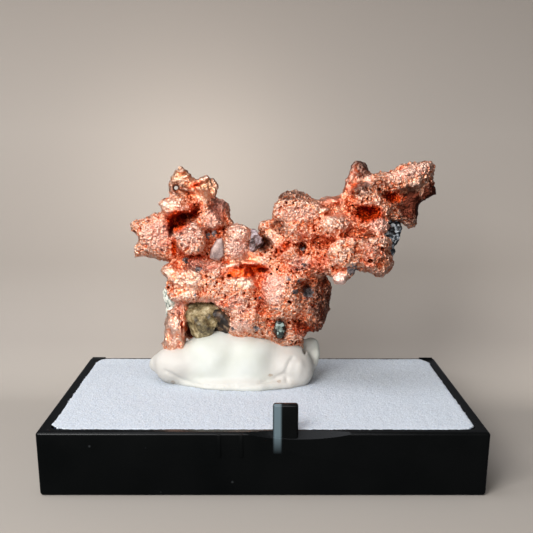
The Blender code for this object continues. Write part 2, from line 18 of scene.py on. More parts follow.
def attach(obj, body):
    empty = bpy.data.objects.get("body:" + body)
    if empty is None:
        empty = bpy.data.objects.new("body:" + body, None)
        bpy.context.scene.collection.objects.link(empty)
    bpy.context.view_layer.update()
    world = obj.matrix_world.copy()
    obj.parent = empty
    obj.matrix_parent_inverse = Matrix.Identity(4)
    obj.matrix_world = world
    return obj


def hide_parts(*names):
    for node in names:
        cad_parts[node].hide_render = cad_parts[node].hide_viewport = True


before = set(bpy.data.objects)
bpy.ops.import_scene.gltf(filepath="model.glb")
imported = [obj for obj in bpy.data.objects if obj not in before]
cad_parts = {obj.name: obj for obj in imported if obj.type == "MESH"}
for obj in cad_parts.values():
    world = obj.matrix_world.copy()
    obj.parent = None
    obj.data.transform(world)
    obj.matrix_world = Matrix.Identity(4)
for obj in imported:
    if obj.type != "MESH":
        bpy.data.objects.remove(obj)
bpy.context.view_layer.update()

MM = 0.001

# ---- The view: its width and focal length in pixels, the camera's place and its angles ----
VIEW_PIXELS = 533
FOCAL_PIXELS = 1005.70
SENSOR_WIDTH = 36.0
CAMERA_AT = (-0.683, -204.961, 65.810)
PITCH_DOWN, YAW, ROLL = 7.706, -0.385, -0.149

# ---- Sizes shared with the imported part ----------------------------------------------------
TRAY_WIDTH, TRAY_DEPTH, TRAY_HEIGHT = 82.0, 60.0, 12.0
TRAY_DRAFT = 0.5
TRAY_WALL = 1.7
TRAY_FLOOR = 1.2
TRAY_EDGE_ROUND = 0.6
WELL_CORNER_ROUND = 1.6
FIT_GAP = 0.3
FOAM_TOP = 12.0
LATCH_CENTRE_X = 4.0
LATCH_WIDTH, LATCH_THICK = 4.6, 1.6
LATCH_FOOT, LATCH_TOP = 7.5, 17.2
LATCH_SETBACK = 0.15
LATCH_EDGE_ROUND = 0.5
SCOOP_CENTRE_X = 6.4
SCOOP_HALF_WIDTH = 11.0
SCOOP_DROP = 1.3
SCOOP_SLOPE = 0.78          # it shows the light from above
SCOOP_BEFORE, SCOOP_BEHIND = 2.0, 4.0
SCOOP_STEPS = 48
RIB_PLACES = (-8.0, -4.0)
RIB_WIDTH, RIB_THICK, RIB_PROUD, RIB_EDGE_ROUND = 0.7, 1.2, 0.12, 0.12
RIB_FOOT, RIB_TOP = 7.4, 11.7
HINGE_NUB_RADIUS, HINGE_NUB_LENGTH = 0.9, 3.0
HINGE_NUB_RISE = 0.35
HINGE_NUB_SIDE_INSET, HINGE_NUB_BACK_INSET = 0.7, 0.1

# Lumps are laid out on an upright measuring plane, PLANE_Y behind the tray's middle, and each
# is then set back or forward to its own depth along the line from an eye in front.
PLANE_Y = 5.0
EYE_HEIGHT = 66.0
EYE_REACH = 210.0
LUMP_KNOBBLE, LUMP_KNOBBLE_PITCH = 0.16, 1.7
PLATE_DRAW_IN, PLATE_SPREAD, PLATE_SHOULDER = 0.86, 1.03, 0.3
COPPER_BUMPS = [(4.5, 0.9), (1.8, 0.5)]      # (size of the bumps, their height)

# ---- Fineness and relief of the surfaces --------------------------------------------------
FORM_VOXEL = 0.36           # the lumps are first fused this finely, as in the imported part
SKIN_VOXEL = 0.21           # and then re-skinned this finely for the small relief
COPPER_TRIANGLES = 192000   # a piece is kept under 200,000
SKIN_HEIGHTS = (0.06, 0.07, 0.14, 0.42, 0.55)   # folds, crumples, ripples, granules, pits
FOLD_SIZE, CRUMPLE_SIZE, RIPPLE_SIZE, GRANULE_SIZE, PIT_SPACING = 1.7, 0.85, 0.45, 0.56, 1.25
PIT_SHARE = 0.38            # of the places where a pit could be
PIT_RADIUS = 0.34           # as a share of the spacing
SKIN_WANDER_SIZE, SKIN_WANDER = 1.6, 0.5     # how the folds stray from straight
# How shut in the copper is, found by short rays, for its painted shade.
SHUT_IN_REACH, SHUT_IN_RAYS, SHUT_IN_START = 6.0, 10, 0.06
NODULE_SEED = 7
NODULES_PER_MM2, NODULES_ELSEWHERE = 1.1, 0.12
NODULE_RADII = (0.2, 0.5)
STONE_VOXEL = 0.22
STONE_BUMPS = [(2.6, 0.22), (0.9, 0.07)]
STONE_FLATS = 11
FACET_REACH = (0.60, 0.86)  # how far out a stone's flats lie, as a share of its half size
STONE_OVERSIZE = 1.06       # before the flats are cut
STONE_SHRINK = 0.05         # a pocket is this much tighter than its stone
PUTTY_VOXEL = 0.45
PUTTY_BUMPS = [(8.0, 0.25), (3.0, 0.05)]
PUTTY_ROLL_RADIUS, PUTTY_ROLL_HEIGHT, PUTTY_ROLL_STEP = 1.0, 12.7, 0.6
CREASE_RADIUS, CREASE_PUSH, CREASE_STEPS = 0.5, 0.1, 6
FOAM_PITCH = 0.27
FOAM_ROUND = 4.6            # the pad's corners in plan
FOAM_OVER = -0.1            # how far the torn edge laps over the wall's inner face
FOAM_RIM = 0.97             # the share of the pad's half size where its edge gives way
FOAM_TEAR = 0.35            # how far the edge strays
FOAM_LIFT = 0.08            # how far the middle stands over the putty's underside
FOAM_RELIEF = [(0.36, 0.10, 0.0), (1.3, 0.05, 5.0), (9.0, 0.10, 7.0)]  # size, height, layer
TRAY_SHARP_ANGLE = 28.0     # degrees, past which its shading breaks

Lump = namedtuple("Lump", "name at size tilt turn", defaults=(0.0, 0.0))
Mark = namedtuple("Mark", "name x z size push tilt", defaults=(0.0,))

# ---- The copper: lumps (centre, half sizes, tilt in front view, turn seen from above) -----
COPPER_LUMPS = [
    # the left cluster
    ("block upper knob", (-25.9, 8, 45.6), (1.5, 1.6, 1.5)),
    ("block lower knob", (-25.5, 8, 41.1), (1.6, 1.8, 1.5)),
    ("block face", (-22.4, 6.2, 44), (3.7, 1.5, 3.9), 10),
    ("bean lobe", (-18.1, 6.8, 49.6), (3.5, 3, 2.6)),
    ("top knob", (-17, 8.5, 55.2), (2.4, 2.2, 2.9), 10),
    ("top knob neck", (-16.6, 9, 52.4), (2.2, 2.2, 1.8)),
    ("top knob side", (-18.5, 8.6, 53.9), (1.15, 1.5, 2), 6),
    ("knob bridge", (-14.4, 8.4, 54), (1.8, 2, 1.7)),
    ("curled lobe", (-12, 7.5, 54), (2.7, 2.6, 2.3), -20),
    ("curled lobe root", (-12.8, 8.5, 51.6), (2.8, 2.8, 2)),
    ("cavity back", (-17.4, 12.8, 47.6), (3.6, 2.4, 3.4)),
    ("disc root", (-15.2, 6.6, 43.5), (3, 3, 3)),
    ("block hinge", (-16.8, 8.4, 39), (2.3, 3.2, 1.8)),
    ("shoulder lump", (-5.2, 5.5, 44.4), (3, 2.8, 2.1), -14),
    ("shoulder lower", (-6.2, 6, 41.2), (3.1, 3.2, 3.4)),
    ("left neck", (-11.5, 10.5, 42.5), (6.8, 4.5, 5.5)),
    ("left neck top", (-13.6, 11.5, 48.8), (4.2, 3, 3.6)),
    ("left rear boss", (-18.2, 13, 43.6), (4.6, 3.2, 4.4)),
    # the middle
    ("small peak", (0.7, 7, 45.6), (1.9, 2.2, 1.8)),
    ("peak root", (2.2, 6, 43.3), (2.3, 2.4, 1.9), -30),
    ("saddle lump", (-1, 8.5, 41.4), (3.6, 3.6, 3.2)),
    ("under flange", (5.2, 6, 40.2), (3.2, 3.2, 2.6)), ("waist", (4, 9, 38.6), (9, 5.5, 4.5)),
    ("waist left", (-6, 9.5, 38), (7, 5, 4)), ("red slope", (11.2, 5.5, 38.8), (3.4, 4, 3.6)),
    # the right arm
    ("block top lobe", (6.4, 7, 51.6), (3.2, 2.6, 1.7), 6),
    ("block under", (7, 6, 45.4), (4.6, 4, 3.2)), ("saddle", (14.2, 8, 49.8), (4, 3, 2.1), 8),
    ("nodule cluster", (21.6, 6, 52), (3.4, 3, 2.9)),
    ("wing root", (25.4, 7.5, 52.4), (3.2, 3, 3.8)),
    ("nodule bridge", (24.3, 6.4, 49.2), (2.8, 3.2, 2.6)),
    ("wing upper root", (29, 6.4, 56.2), (4.6, 1.8, 1.8), 15),
    ("wing tooth", (30.2, 7.5, 48.8), (1.9, 2.2, 2.8)),
    ("smooth lump", (14.9, 3.4, 46), (3.6, 3, 2.7), -6),
    ("arm core", (17.5, 8, 45.2), (8.6, 4.8, 4.8)),
    ("arm end lump", (23, 4, 46), (3.3, 3, 2.3), -10),
    ("near lump left", (16.7, 0.2, 40.4), (3.4, 3.2, 2.8)),
    ("near lump right", (22.8, -0.6, 39.6), (3.1, 2.7, 3)),
    ("end knob high", (25.2, -1, 42), (1.4, 1.5, 0.9), 20),
    ("end knob low", (24.6, -1.5, 37.5), (1.8, 1.8, 1.7)),
    ("arm underside", (15.2, 3.5, 38.4), (3.8, 4, 2.8)),
    ("bead", (16.3, -0.6, 34.7), (1.5, 1.5, 1.45)),
    ("bead stalk", (17.4, 0, 35.6), (1.7, 1.4, 1.1), 25),
    ("bead root", (15.6, 2, 36.6), (1.8, 2, 1.6)),
    # the body and its feet
    ("torso left", (-13.3, 9, 34.2), (6.2, 5.6, 4.3)),
    ("fold lump", (-15.4, 4.8, 34.8), (4.3, 3.2, 2.9), 8),
    ("fold roll", (-15.2, 4.6, 31.2), (4.5, 3, 1.8), -6),
    ("curl knob", (-19.8, 5.8, 36.4), (1.4, 1.6, 1.3)),
    ("torso middle", (-5.2, 8.5, 32.8), (6.5, 6, 7)),
    ("torso face root", (-5, 5, 31), (4.4, 2.8, 4.8)), ("bulge", (4.2, 5, 31.2), (4.9, 5.2, 6.2)),
    ("torso right", (10, 8, 30.6), (4.3, 6, 6.4)),
    ("right nodules", (10.5, 5.5, 25.7), (2.1, 2.3, 1.7)),
    ("ring knob", (7.8, 1.4, 35.2), (1.4, 1.3, 1.3)),
    ("leg upper", (-18.5, 5.8, 25.6), (2.4, 2.6, 3)),
    ("leg lower", (-18.6, 6.6, 21.6), (2.4, 2.6, 3)),
    ("leg twist", (-19.3, 5.4, 21.2), (1.4, 1.5, 2.8), -12),
    ("leg fold", (-17.6, 4.6, 24.6), (1.2, 1.2, 2.4), 12),
    ("window post", (-5.2, 5.2, 25.6), (2.4, 3, 3.4)),
    ("foot front", (-0.6, 5.6, 26), (3.4, 3.4, 3.6)), ("foot middle", (-3, 9, 22), (6, 4.4, 4.2)),
    ("foot right", (4.6, 6.6, 24), (4.8, 4.2, 3)),
    ("foot right root", (4.6, 9, 21), (4.4, 3.6, 3)),
    ("behind window", (-11.5, 12.5, 26), (6.4, 3.4, 7)),
    # the back
    ("rear boss left", (-14, 15.2, 33.6), (4.2, 3.4, 4.2), 15),
    ("rear boss middle", (-4.5, 15.6, 37.5), (5, 3.4, 4), -20),
    ("rear boss low", (1.5, 15.6, 29.6), (4, 3.6, 4.8)),
    ("rear boss right", (9.4, 14.6, 34), (3.8, 3.4, 3.8), 30),
    ("rear foot", (-6, 13.2, 23.4), (5.6, 3.2, 4.4)),
    ("rear arm boss", (16.5, 12.6, 46.2), (4.8, 3, 3.2), 10),
    ("rear arm knob", (8, 13, 46.2), (3.8, 3.4, 3.6)),
    ("rear wing boss", (27.5, 10.4, 54.4), (3.4, 2, 2.6), 15),
    ("rear neck knob", (-9, 15, 44), (2.8, 2.6, 3.4), 20),
]

# Flat-sided masses: depth of the middle, thickness and outline as seen from in front.
PLATES = [
    ("left block", 8.5, 6, [(-26.2, 46.8), (-24.2, 47.2), (-22.7, 48.5), (-20.4, 48.2),
        (-19.4, 46), (-18.6, 43.5), (-17.7, 40.5), (-18.2, 38.8), (-20.5, 39.4), (-25.2, 39.8),
        (-26, 41.6), (-25.7, 44)]),
    ("disc", 3.8, 5.6, [(-12.2, 43.4), (-12.6, 45.2), (-14, 46.6), (-15.6, 47), (-17.4, 46.5),
        (-18.6, 45), (-19, 43.2), (-18.5, 41.4), (-17.2, 40.3), (-15.4, 39.9), (-13.7, 40.3),
        (-12.6, 41.6)]),
    ("back shoulder", 12, 4, [(-11.5, 51.9), (-9.3, 51.8), (-7.9, 51.1), (-7.2, 49.5),
        (-6.2, 46.6), (-5.4, 43), (-11.5, 43)]),
    ("ridge", 6.4, 4.2, [(-12.2, 50.4), (-13.6, 48.2), (-13.9, 46.2), (-10.6, 45.2), (-8.2, 46.2),
        (-9.8, 48.2)]),
    ("flange", 4.4, 2.2, [(0.6, 40.4), (1.8, 39.4), (7, 42.8), (7.2, 44.4), (5.8, 44.9)]),
    ("right block", 8.5, 7.5, [(2.4, 46.2), (2.2, 49), (2.7, 50.8), (3.5, 51.4), (3.6, 52.4),
        (4.6, 53.1), (7, 53.2), (8.8, 52.4), (11.2, 51.2), (16, 52), (18, 49), (17, 45),
        (10, 42.5), (3.8, 44)]),
    ("right block face", 4.9, 4.8, [(2.2, 50.3), (2.9, 51.2), (4.2, 51.7), (8, 51.4),
        (11.6, 50.7), (12.5, 49), (11.3, 46.9), (7.9, 46.3), (4.5, 46.5), (2.4, 47.8)]),
    ("fin", 8.5, 4, [(16, 50), (16.4, 52.8), (17.2, 54.8), (17.8, 56.6), (18.3, 58.3), (19, 59.4),
        (20, 59.7), (20.9, 59.5), (21.5, 58.4), (22.1, 56.4), (22.5, 53), (20, 49.5)]),
    ("wing", 7.8, 4.6, [(22, 50.5), (22.2, 55.8), (24.2, 56.5), (26.2, 56.8), (28.2, 58.2),
        (30, 58.9), (32.6, 59), (34.2, 59.6), (35, 59.3), (35.5, 58), (35.1, 56.2), (35.4, 54.3),
        (36, 53), (34, 51.8), (32.3, 50.8), (31.9, 49), (31.9, 47), (31.6, 46.3), (30.4, 46.4),
        (28.6, 47.4), (26.6, 47.9), (24.6, 48.6)]),
    ("wing upper face", 5.6, 3.8, [(25.2, 53.4), (25.4, 55.4), (27.4, 56.5), (30, 58.3),
        (32.6, 58.7), (34.6, 59.3), (34.9, 58.2), (33.6, 56.2), (32.4, 54.4), (30.4, 54),
        (28, 53.5)]),
    ("near mass", 0.6, 5, [(14.4, 41.6), (16, 43.4), (19, 43.7), (22, 43), (25.6, 43.6),
        (27, 42.2), (26.4, 40.4), (26.9, 38.2), (26.2, 36.3), (24.2, 35.7), (22, 36.7),
        (20.2, 38.2), (17.4, 37.4), (15.2, 38.4)]),
    ("torso face", 4, 4.4, [(-11.4, 36.4), (-8, 37.2), (-3, 37), (-1.8, 34), (-0.9, 30.4),
        (-0.3, 26.6), (-2.6, 23.6), (-5.4, 24), (-7, 27.4), (-9.6, 29.6), (-12.2, 30.4),
        (-12.4, 33.4)]),
    ("leg", 6.6, 3.8, [(-20.8, 18), (-20.9, 21), (-20.5, 23.8), (-20.9, 25.6), (-20.2, 26.8),
        (-18.7, 29), (-18.9, 31.5), (-15.4, 31), (-16.4, 27.2), (-16.1, 24), (-16, 22),
        (-16.8, 18)]),
]

# Hollows cut out of the fused copper.
HOLLOWS = [
    ("left cavity", (-19, 4.6, 45.8), (1.1, 7.4, 2.6), -22),
    ("left cavity wing", (-16.8, 5, 47.3), (3.2, 7, 1.4), 14),
    ("block crevice", (-18.8, 3, 41.2), (0.5, 4, 2.2), -6),
    ("bean hollow", (-16.4, 4.4, 50.6), (1.1, 2, 0.6), 14),
    ("top knob eye", (-18.2, 8, 53.9), (0.65, 7, 0.95), 12),
    ("crystal slot", (-10.9, 3.4, 41), (0.7, 3.6, 1.9), 10),
    ("disc undercut", (-13.6, 2.4, 39.3), (3, 1.8, 0.6), 4),
    ("ledge undercut", (-1.4, 1.6, 36.4), (3.2, 2.6, 0.9), 8),
    ("ledge shadow", (-0.2, 2.6, 36.4), (1.5, 4.6, 0.8)),
    ("peak gap", (-0.2, 4.8, 42), (1.2, 3.6, 1.6), -40),
    ("flange slot", (5.2, 2.8, 42), (1.8, 1.6, 0.4), 38),
    ("near notch", (21.4, -1.8, 37.4), (1.2, 2.4, 0.6), 8),
    ("body crevice", (-1.5, 1.6, 31.3), (0.7, 2, 2.2), 24),
    ("red cavity", (21.4, 3.4, 49), (3.2, 3, 1.3), 4),
    ("wing recess", (26.6, 4.2, 52.2), (1.9, 3, 1), -12),
    ("arm slit", (24.2, 1.2, 42.8), (3, 2.4, 0.6), 14),
    ("arm crevice", (18.4, 1.6, 43.6), (2.2, 1.2, 0.4), 4),
    ("curl knob hollow", (-19.9, 4.2, 36), (0.7, 1.4, 0.7)),
    ("curled ring hollow", (-19.2, 2.8, 33.2), (0.6, 1.4, 0.9)),
    ("ring knob eye", (7.7, 0.2, 35.3), (0.45, 1, 0.45)),
    ("green pocket", (9.4, 3, 32.2), (1.1, 2.6, 2)), ("foot notch", (1.6, 1.8, 24), (1, 2.6, 2.6)),
]
WINDOW = [
    ("window", 0.5, 9, [(-16, 22.5), (-16.1, 25), (-15.8, 26), (-14.9, 26.9), (-13.7, 27.2),
        (-12.6, 26.7), (-11.7, 25.6), (-10.6, 26.7), (-9.3, 27.3), (-8, 26.9), (-7.1, 25.8),
        (-6.8, 24.4), (-7.2, 23.6), (-7.8, 22.5)]),
]

# ---- Small stones of the matrix, each caught in the copper --------------------------------
OLIVE_STONE = [
    ("olive stone", (-12.8, 6.4, 25.9), (4.3, 3.6, 3.9), 24),
    ("olive stone shoulder", (-11.4, 5.6, 26.3), (2.6, 2.4, 2), -20),
]
BROWN_STONE = [("brown stone", (-8.8, 7.2, 25.4), (3.7, 3.6, 3.8), -10)]
GREEN_ROCK = [
    ("green rock", (-18.4, 10.6, 31.2), (2.9, 3, 3.2)),
    ("green rock foot", (-18.8, 10, 28.2), (2, 2.2, 1.8)),
]
DARK_ROCK = [
    ("dark rock", (25.3, 8, 43.6), (3.7, 3.4, 4.6), -20),
    ("dark rock foot", (26, 7.6, 41), (1.9, 2.2, 1.7)),
]
FOOT_STONE = [("foot stone", (3.2, 3.9, 24), (1.5, 2, 2.2))]
GREY_STONE = [("grey stone", (-1.8, 6, 42.8), (1.8, 2.6, 2.7), 14)]
QUARTZ = [
    ("quartz", 4.9, 4.2, [(-11.2, 39.2), (-10.9, 40.9), (-9.6, 43.2), (-8.6, 43.4), (-8.2, 41.6),
        (-8.3, 39.6), (-9.2, 38.6)]),
]

# ---- The putty ----------------------------------------------------------------------------
PUTTY_BODY = [
    ("mound", (-5.6, 9.2, 15.2), (16.6, 9.4, 6.4)),
    ("dome left", (-9.6, 7, 17.8), (7.6, 6.4, 6.6)),
    ("dome middle", (-3, 6.7, 17.4), (7.4, 6.2, 6.3)),
    ("dome right", (4.2, 7.6, 16.6), (6.6, 6, 5.2)),
    ("left lobe", (-17.8, 7.6, 16.4), (6, 5.8, 4.6), 10),
    ("right bulge", (7.2, 6.8, 15.2), (4, 5.2, 4.6)),
    ("rear roll", (-4, 14.5, 16), (12.5, 4.8, 5.8)),
]
PUTTY_PRESSED = [
    ("left lobe tip", (-21.7, 9.2, 16.7), (2.8, 3.2, 2.1), 20),
    ("right bump", (7.3, 2.9, 15), (1.4, 1.3, 2.2), -12),
    ("right flap", (8.9, 12.4, 18.6), (2.8, 2.6, 4.3), -34),
    ("flap edge", (10.9, 11.2, 17), (1, 2, 3.4), -16),
]
PUTTY_DENTS = [("flap gap", (8.9, 8, 19.8), (0.5, 3.4, 2.6), -24)]
# The lower edge, squeezed out in a thin roll on the foam: its line in plan.
PUTTY_ROLL = [
    (-20.4, 8.6), (-17.1, 4.6), (-12.2, 0.7), (-8, -0.4), (-0.5, -0.5), (5.3, 1.5), (8.8, 4.6),
]
# Creases pressed in the putty's face, as lines of the measuring plane.
PUTTY_CREASES = [
    [(-20.9, 14.8), (-17.6, 13), (-14.4, 12), (-11.2, 11.5), (-4.8, 11.5), (-1, 12.2),
        (2.6, 13.3), (4.8, 14.4)],
    [(5.2, 12.6), (4.9, 14.6), (5.6, 16.8), (6.6, 18)],
]
# Greyed and stained patches, as films below.
# Greyer patches: on the right side, on the left lobe and along the lower edge.
PUTTY_GREYED_PATCHES = [
    ("right", 6, 15, 5.4, 6, 0, 0.8), ("left", -20, 16, 5, 5, 0, 0.8),
    ("edge", -4, 12, 14, 1.2, 0, 0.5),
]
PUTTY_STAINS = [
    ("left", -19.2, 12.4, 0.6, 0.4, 0, 1), ("right", 1.6, 14, 0.8, 0.35, 10, 1),
    ("low", 3.5, 12.6, 0.5, 0.4, 0, 1),
]

# ---- Small forms, found on the copper's face where the eye's line through (x, z) of the
# ---- measuring plane meets it: half sizes, how far they stand out of it, and their tilt.
KNOBS = [
    ("knob crest", -17.2, 57.4, (1.2, 1, 0.5), 0.1, 20),
    ("knob collar", -16, 53.6, (1.8, 0.9, 0.5), 0.2, -14),
    ("lobe lip", -12.8, 55.4, (1.6, 0.9, 0.6), 0.2, 24),
    ("lobe edge", -10.2, 53.2, (0.6, 0.9, 1.5), 0.1, -10),
    ("ledge lip left", -6.4, 37.7, (2, 1.2, 0.7), 0.3, 8),
    ("ledge lip right", -2.6, 38.1, (2.2, 1, 0.5), 0.2, -2),
    ("saddle root", 12.6, 49.2, (1.6, 1, 0.6), 0.2, 20),
    ("fin foot", 19.6, 53.4, (1.6, 0.9, 0.7), 0.2, 20),
    ("gold glint", 29.5, 52.8, (0.4, 0.4, 0.3), 0.1),
    ("arch lip left", -14.8, 28.8, (1.5, 0.8, 0.4), 0.2, 14),
    ("arch lip right", -8.4, 28.8, (1.8, 0.8, 0.4), 0.2, -20),
    ("sliver ledge", 6.8, 37.6, (1.6, 0.8, 0.5), 0.2, -20),
]
PITS = [
    ("body pit", -3.1, 28.7, (0.4, 1, 0.4), 0.2),
    ("body pit left", -4.8, 27.4, (0.35, 0.9, 0.3), 0.2),
    ("body slit", -8, 31, (0.25, 0.9, 0.8), 0.2), ("upper pit", -7.2, 35.4, (0.5, 1, 0.4), 0.2),
    ("lobe crevice", -14.2, 54.4, (0.9, 0.9, 0.3), 0.2, 30),
    ("leg crease", -17.2, 24.5, (0.25, 0.9, 2.6), 0.1, -4),
    ("end pit high", 25.2, 41.2, (0.5, 0.9, 0.4), 0.1),
    ("end pit low", 24.6, 37.6, (0.8, 1, 0.7), 0.1),
    ("end pit left", 22.6, 38.6, (0.6, 0.9, 0.5), 0.1),
]
# Curled rims: x, z, half width, half height, bead, count of beads, how far they stand out.
RINGS = [
    ("curled ring", -19.3, 33, 0.9, 1.7, 0.42, 12, 0.1),
    ("ring knob", 8.3, 35.5, 0.85, 0.85, 0.38, 10, 0.3),
]
# Flat faces, where the form swells less, as a share of what it does elsewhere.
FLATS = [
    ("top knob", (-17.2, 55.2), 3.4, 0.3), ("curled lobe", (-12.2, 53.8), 3.2, 0.3),
    ("bean lobe", (-18, 49.6), 3.4, 0.3), ("shoulder lump", (-5.2, 44.4), 3.2, 0.3),
    ("smooth lump", (14.9, 46.2), 3.6, 0.7), ("fold lump", (-15.6, 34), 3.8, 0.4),
    ("left block", (-22.4, 44), 4.6, 0.15), ("disc", (-15.5, 43.5), 3.8, 0.1),
    ("ridge", (-10.8, 47.6), 3, 0.2), ("right block face", (7.4, 49), 5.4, 0.15),
    ("wing upper face", (30.2, 56.6), 5, 0.3), ("wing end", (34, 52.6), 4, 0.2),
    ("torso face", (-6, 31), 5, 0.45), ("fin", (18.8, 56), 3.4, 0.3),
    ("bulge", (3.6, 31.6), 4.6, 0.4),
]
# How rough the copper's own skin is round a place of the measuring plane: 1 as everywhere.
ZONES = [
    ("shoulder lump", (-5, 44.8), 2.4, 0.65), ("bean lobe", (-18.8, 49.6), 2.6, 0.45),
    ("top knob", (-17.2, 55.4), 3.2, 0.4), ("curled lobe", (-12.4, 53.8), 3, 0.35),
    ("fold lump", (-15.8, 34), 3.4, 0.5), ("curl knob", (-20, 36.2), 1.8, 0.45),
    ("leg", (-18.6, 23), 4.2, 0.5), ("saddle", (14.4, 50.2), 3.2, 0.45),
    ("fin", (19.2, 56.4), 3.8, 0.3), ("smooth lump", (15, 46.2), 3.4, 0.85),
    ("wing dark face", (32.5, 51.5), 4.2, 0.3), ("bead", (16.4, 34.8), 1.6, 0.3),
    ("near lumps", (20, 40.4), 5.4, 0.75), ("ledge", (-3.8, 36.6), 4.4, 0.3),
    ("peak root", (2, 43.6), 2, 0.65),
]
# Fine ridges that run along some forms: where, how the ridges lean, their pitch and height.
STRIAE = [
    ("top knob", (-17, 56.4), 2.6, 14, 0.95, 0.15),
    ("curled lobe", (-11.8, 54.2), 2.6, -50, 1, 0.14), ("fin", (18.8, 56.2), 3.8, 78, 0.9, 0.04),
    ("leg", (-18.6, 24.4), 5, 84, 1.5, 0.16), ("fold lump", (-16.4, 34.4), 3.4, -22, 1.4, 0.07),
    ("bean lobe", (-18.6, 50.2), 2.4, 20, 1.1, 0.1),
]
# Mineral specks: x, z and radius.
SPECKS = [
    ("blue speck on the disc", -11.5, 43.9, 0.8), ("blue speck by the disc", -10.2, 44.4, 0.75),
    ("speck under the disc", -13.5, 40.9, 0.5), ("speck on the hinge", -16.2, 38.7, 0.8),
    ("pale speck", -13.6, 36.8, 0.8), ("bulge speck high", 5.3, 34.8, 0.6),
    ("bulge speck low", 6.8, 32, 0.7), ("bulge speck middle", 7.5, 34.2, 0.5),
    ("bulge speck left", -0.6, 30.6, 0.5), ("bulge speck foot", 2.8, 28.5, 0.5),
    ("slope speck", 8.5, 37.7, 0.7), ("slope speck high", 8.3, 41.1, 0.6),
    ("green pocket", 9.6, 31.8, 1.5), ("arm patch", 18.8, 36.6, 1.6),
    ("grey bit", -1.4, 24.2, 0.7), ("foot speck", -6.5, 24, 0.5),
    ("window speck", -14.4, 31.2, 0.5),
]

# Thin films on the copper, as ellipses of the measuring plane (x, z, half sizes, tilt,
# strength).  Red oxide lies in sheltered places, with painted light bounced between copper walls;
# brown tarnish and painted shade lie on the sides turned away and in recesses; a golden tint lies
# on the top of the left arm; and painted highlights make the lit faces pinker and paler.
# Oxide, and painted light: the orange stands in for light bounced between copper walls.
OXIDE_AND_BOUNCE_FILM = [
    ("saddle", 14.2, 51, 2.6, 1.2, 12, 0.45), ("arm cavity", 21.9, 48.6, 3.2, 1.7, 6, 1),
    ("wing recess", 27.2, 52, 1.9, 1.2, -10, 0.9), ("ledge", -3.8, 36.4, 5.2, 1.6, 8, 0.8),
    ("flange", 4.1, 41.4, 2.6, 1, 38, 0.7), ("red slope", 11.8, 37.8, 2.4, 1.8, 0, 0.5),
    ("fin face", 18.2, 55.4, 1.6, 3, -14, 0.35), ("arm crevice", 18.6, 43.4, 2.6, 0.6, 4, 0.4),
    ("under the block", 7.9, 44.4, 1.6, 1.2, 0, 0.3),
    ("left cavity tip", -14.6, 48.4, 1.4, 0.9, 18, 0.9),
    ("block crevice", -18.7, 41.4, 0.7, 2.2, 0, 0.9),
    ("under the bean", -14.4, 49.9, 1.8, 1, 20, 0.5),
    ("block hinge", -17.6, 40.4, 1.8, 0.9, -60, 0.5),
    ("under the disc", -14.2, 39.4, 3, 0.7, 4, 0.55),
    ("lobe crevice", -14, 54.6, 1.5, 0.6, 30, 0.8), ("body top", -7, 35.2, 3, 1.2, 0, 0.2),
    ("body crevice", -0.4, 30, 0.8, 3, -24, 0.4), ("arch", -11, 29.6, 5, 0.8, 0, 0.35),
    ("foot right", 8.4, 23.6, 2.2, 1.6, 0, 0.4), ("leg side", -16.8, 24, 0.8, 3.6, 0, 0.35),
    ("left cavity", -18, 47, 2.4, 2.6, -30, 0.9), ("back shoulder", -8.8, 49.2, 2.2, 2.6, 0, 0.35),
    ("near lumps", 23.4, 39.6, 3.4, 3, 0, 0.3),
]
# Brown tarnish and painted shade: darker on the sides turned away from the light, on undersides
# and in recesses.
TARNISH_AND_SHADE_FILM = [
    ("wing end", 35, 52.6, 2.2, 3.2, -20, 0.9), ("wing tooth", 30.9, 50.4, 3, 3.7, 0, 0.95),
    ("bulge side", 12.3, 30, 2.8, 6.2, 0, 0.7), ("bulge shade", 8.8, 31.6, 2, 3.8, 0, 0.5),
    ("bulge foot", 11, 23.8, 3, 2.4, 0, 0.75), ("fin top", 20, 57.8, 2.2, 2.2, 0, 0.72),
    ("arm cavity", 21.9, 48.4, 2.4, 1.1, 6, 0.8), ("wing recess", 27.2, 52, 1.3, 0.8, -10, 0.5),
    ("ledge end", -0.6, 36.9, 1.6, 0.9, 8, 0.7), ("foot", 8, 24, 2.4, 1.8, 0, 0.5),
    ("foot left", -1, 24.2, 1.8, 1.6, 0, 0.35), ("fin face", 18.6, 56.2, 1.8, 3.4, -14, 0.45),
    ("near lumps", 22.2, 40.2, 4.6, 3.4, 0, 0.42), ("fin foot", 20, 54, 2.4, 2, 0, 0.66),
    ("wing root", 24.4, 54.6, 2, 2.2, 0, 0.5), ("peak", 3.2, 45.8, 1.8, 1.8, 0, 0.5),
    ("window corner", -15.4, 24, 1.2, 1.8, 0, 1.2), ("foot stone", 3.6, 23.8, 1.6, 2.6, 0, 0.9),
    ("top knob neck", -17.6, 53.6, 2.2, 1.6, 0, 0.6), ("block top", 5.8, 52.4, 3.2, 1, 0, 0.6),
    ("arch shadow", -9.6, 28.2, 3.4, 0.7, 0, 0.3), ("arm underside", 22.6, 36.4, 4, 1.4, 0, 0.45),
    ("peak gap", 0.3, 42, 1.6, 1.6, 0, 0.7), ("left cavity", -18.6, 46.2, 1.2, 2.2, -22, 0.5),
]
GOLDEN = [
    ("top knob", -17.1, 56.1, 2.8, 2.6, 0, 0.35), ("curled lobe", -12, 54, 2.8, 2.6, 0, 0.32),
    ("glint", 29.5, 52.9, 0.6, 0.4, 0, 1), ("end knob", 24.6, 38.4, 1.8, 1.8, 0, 0.3),
]
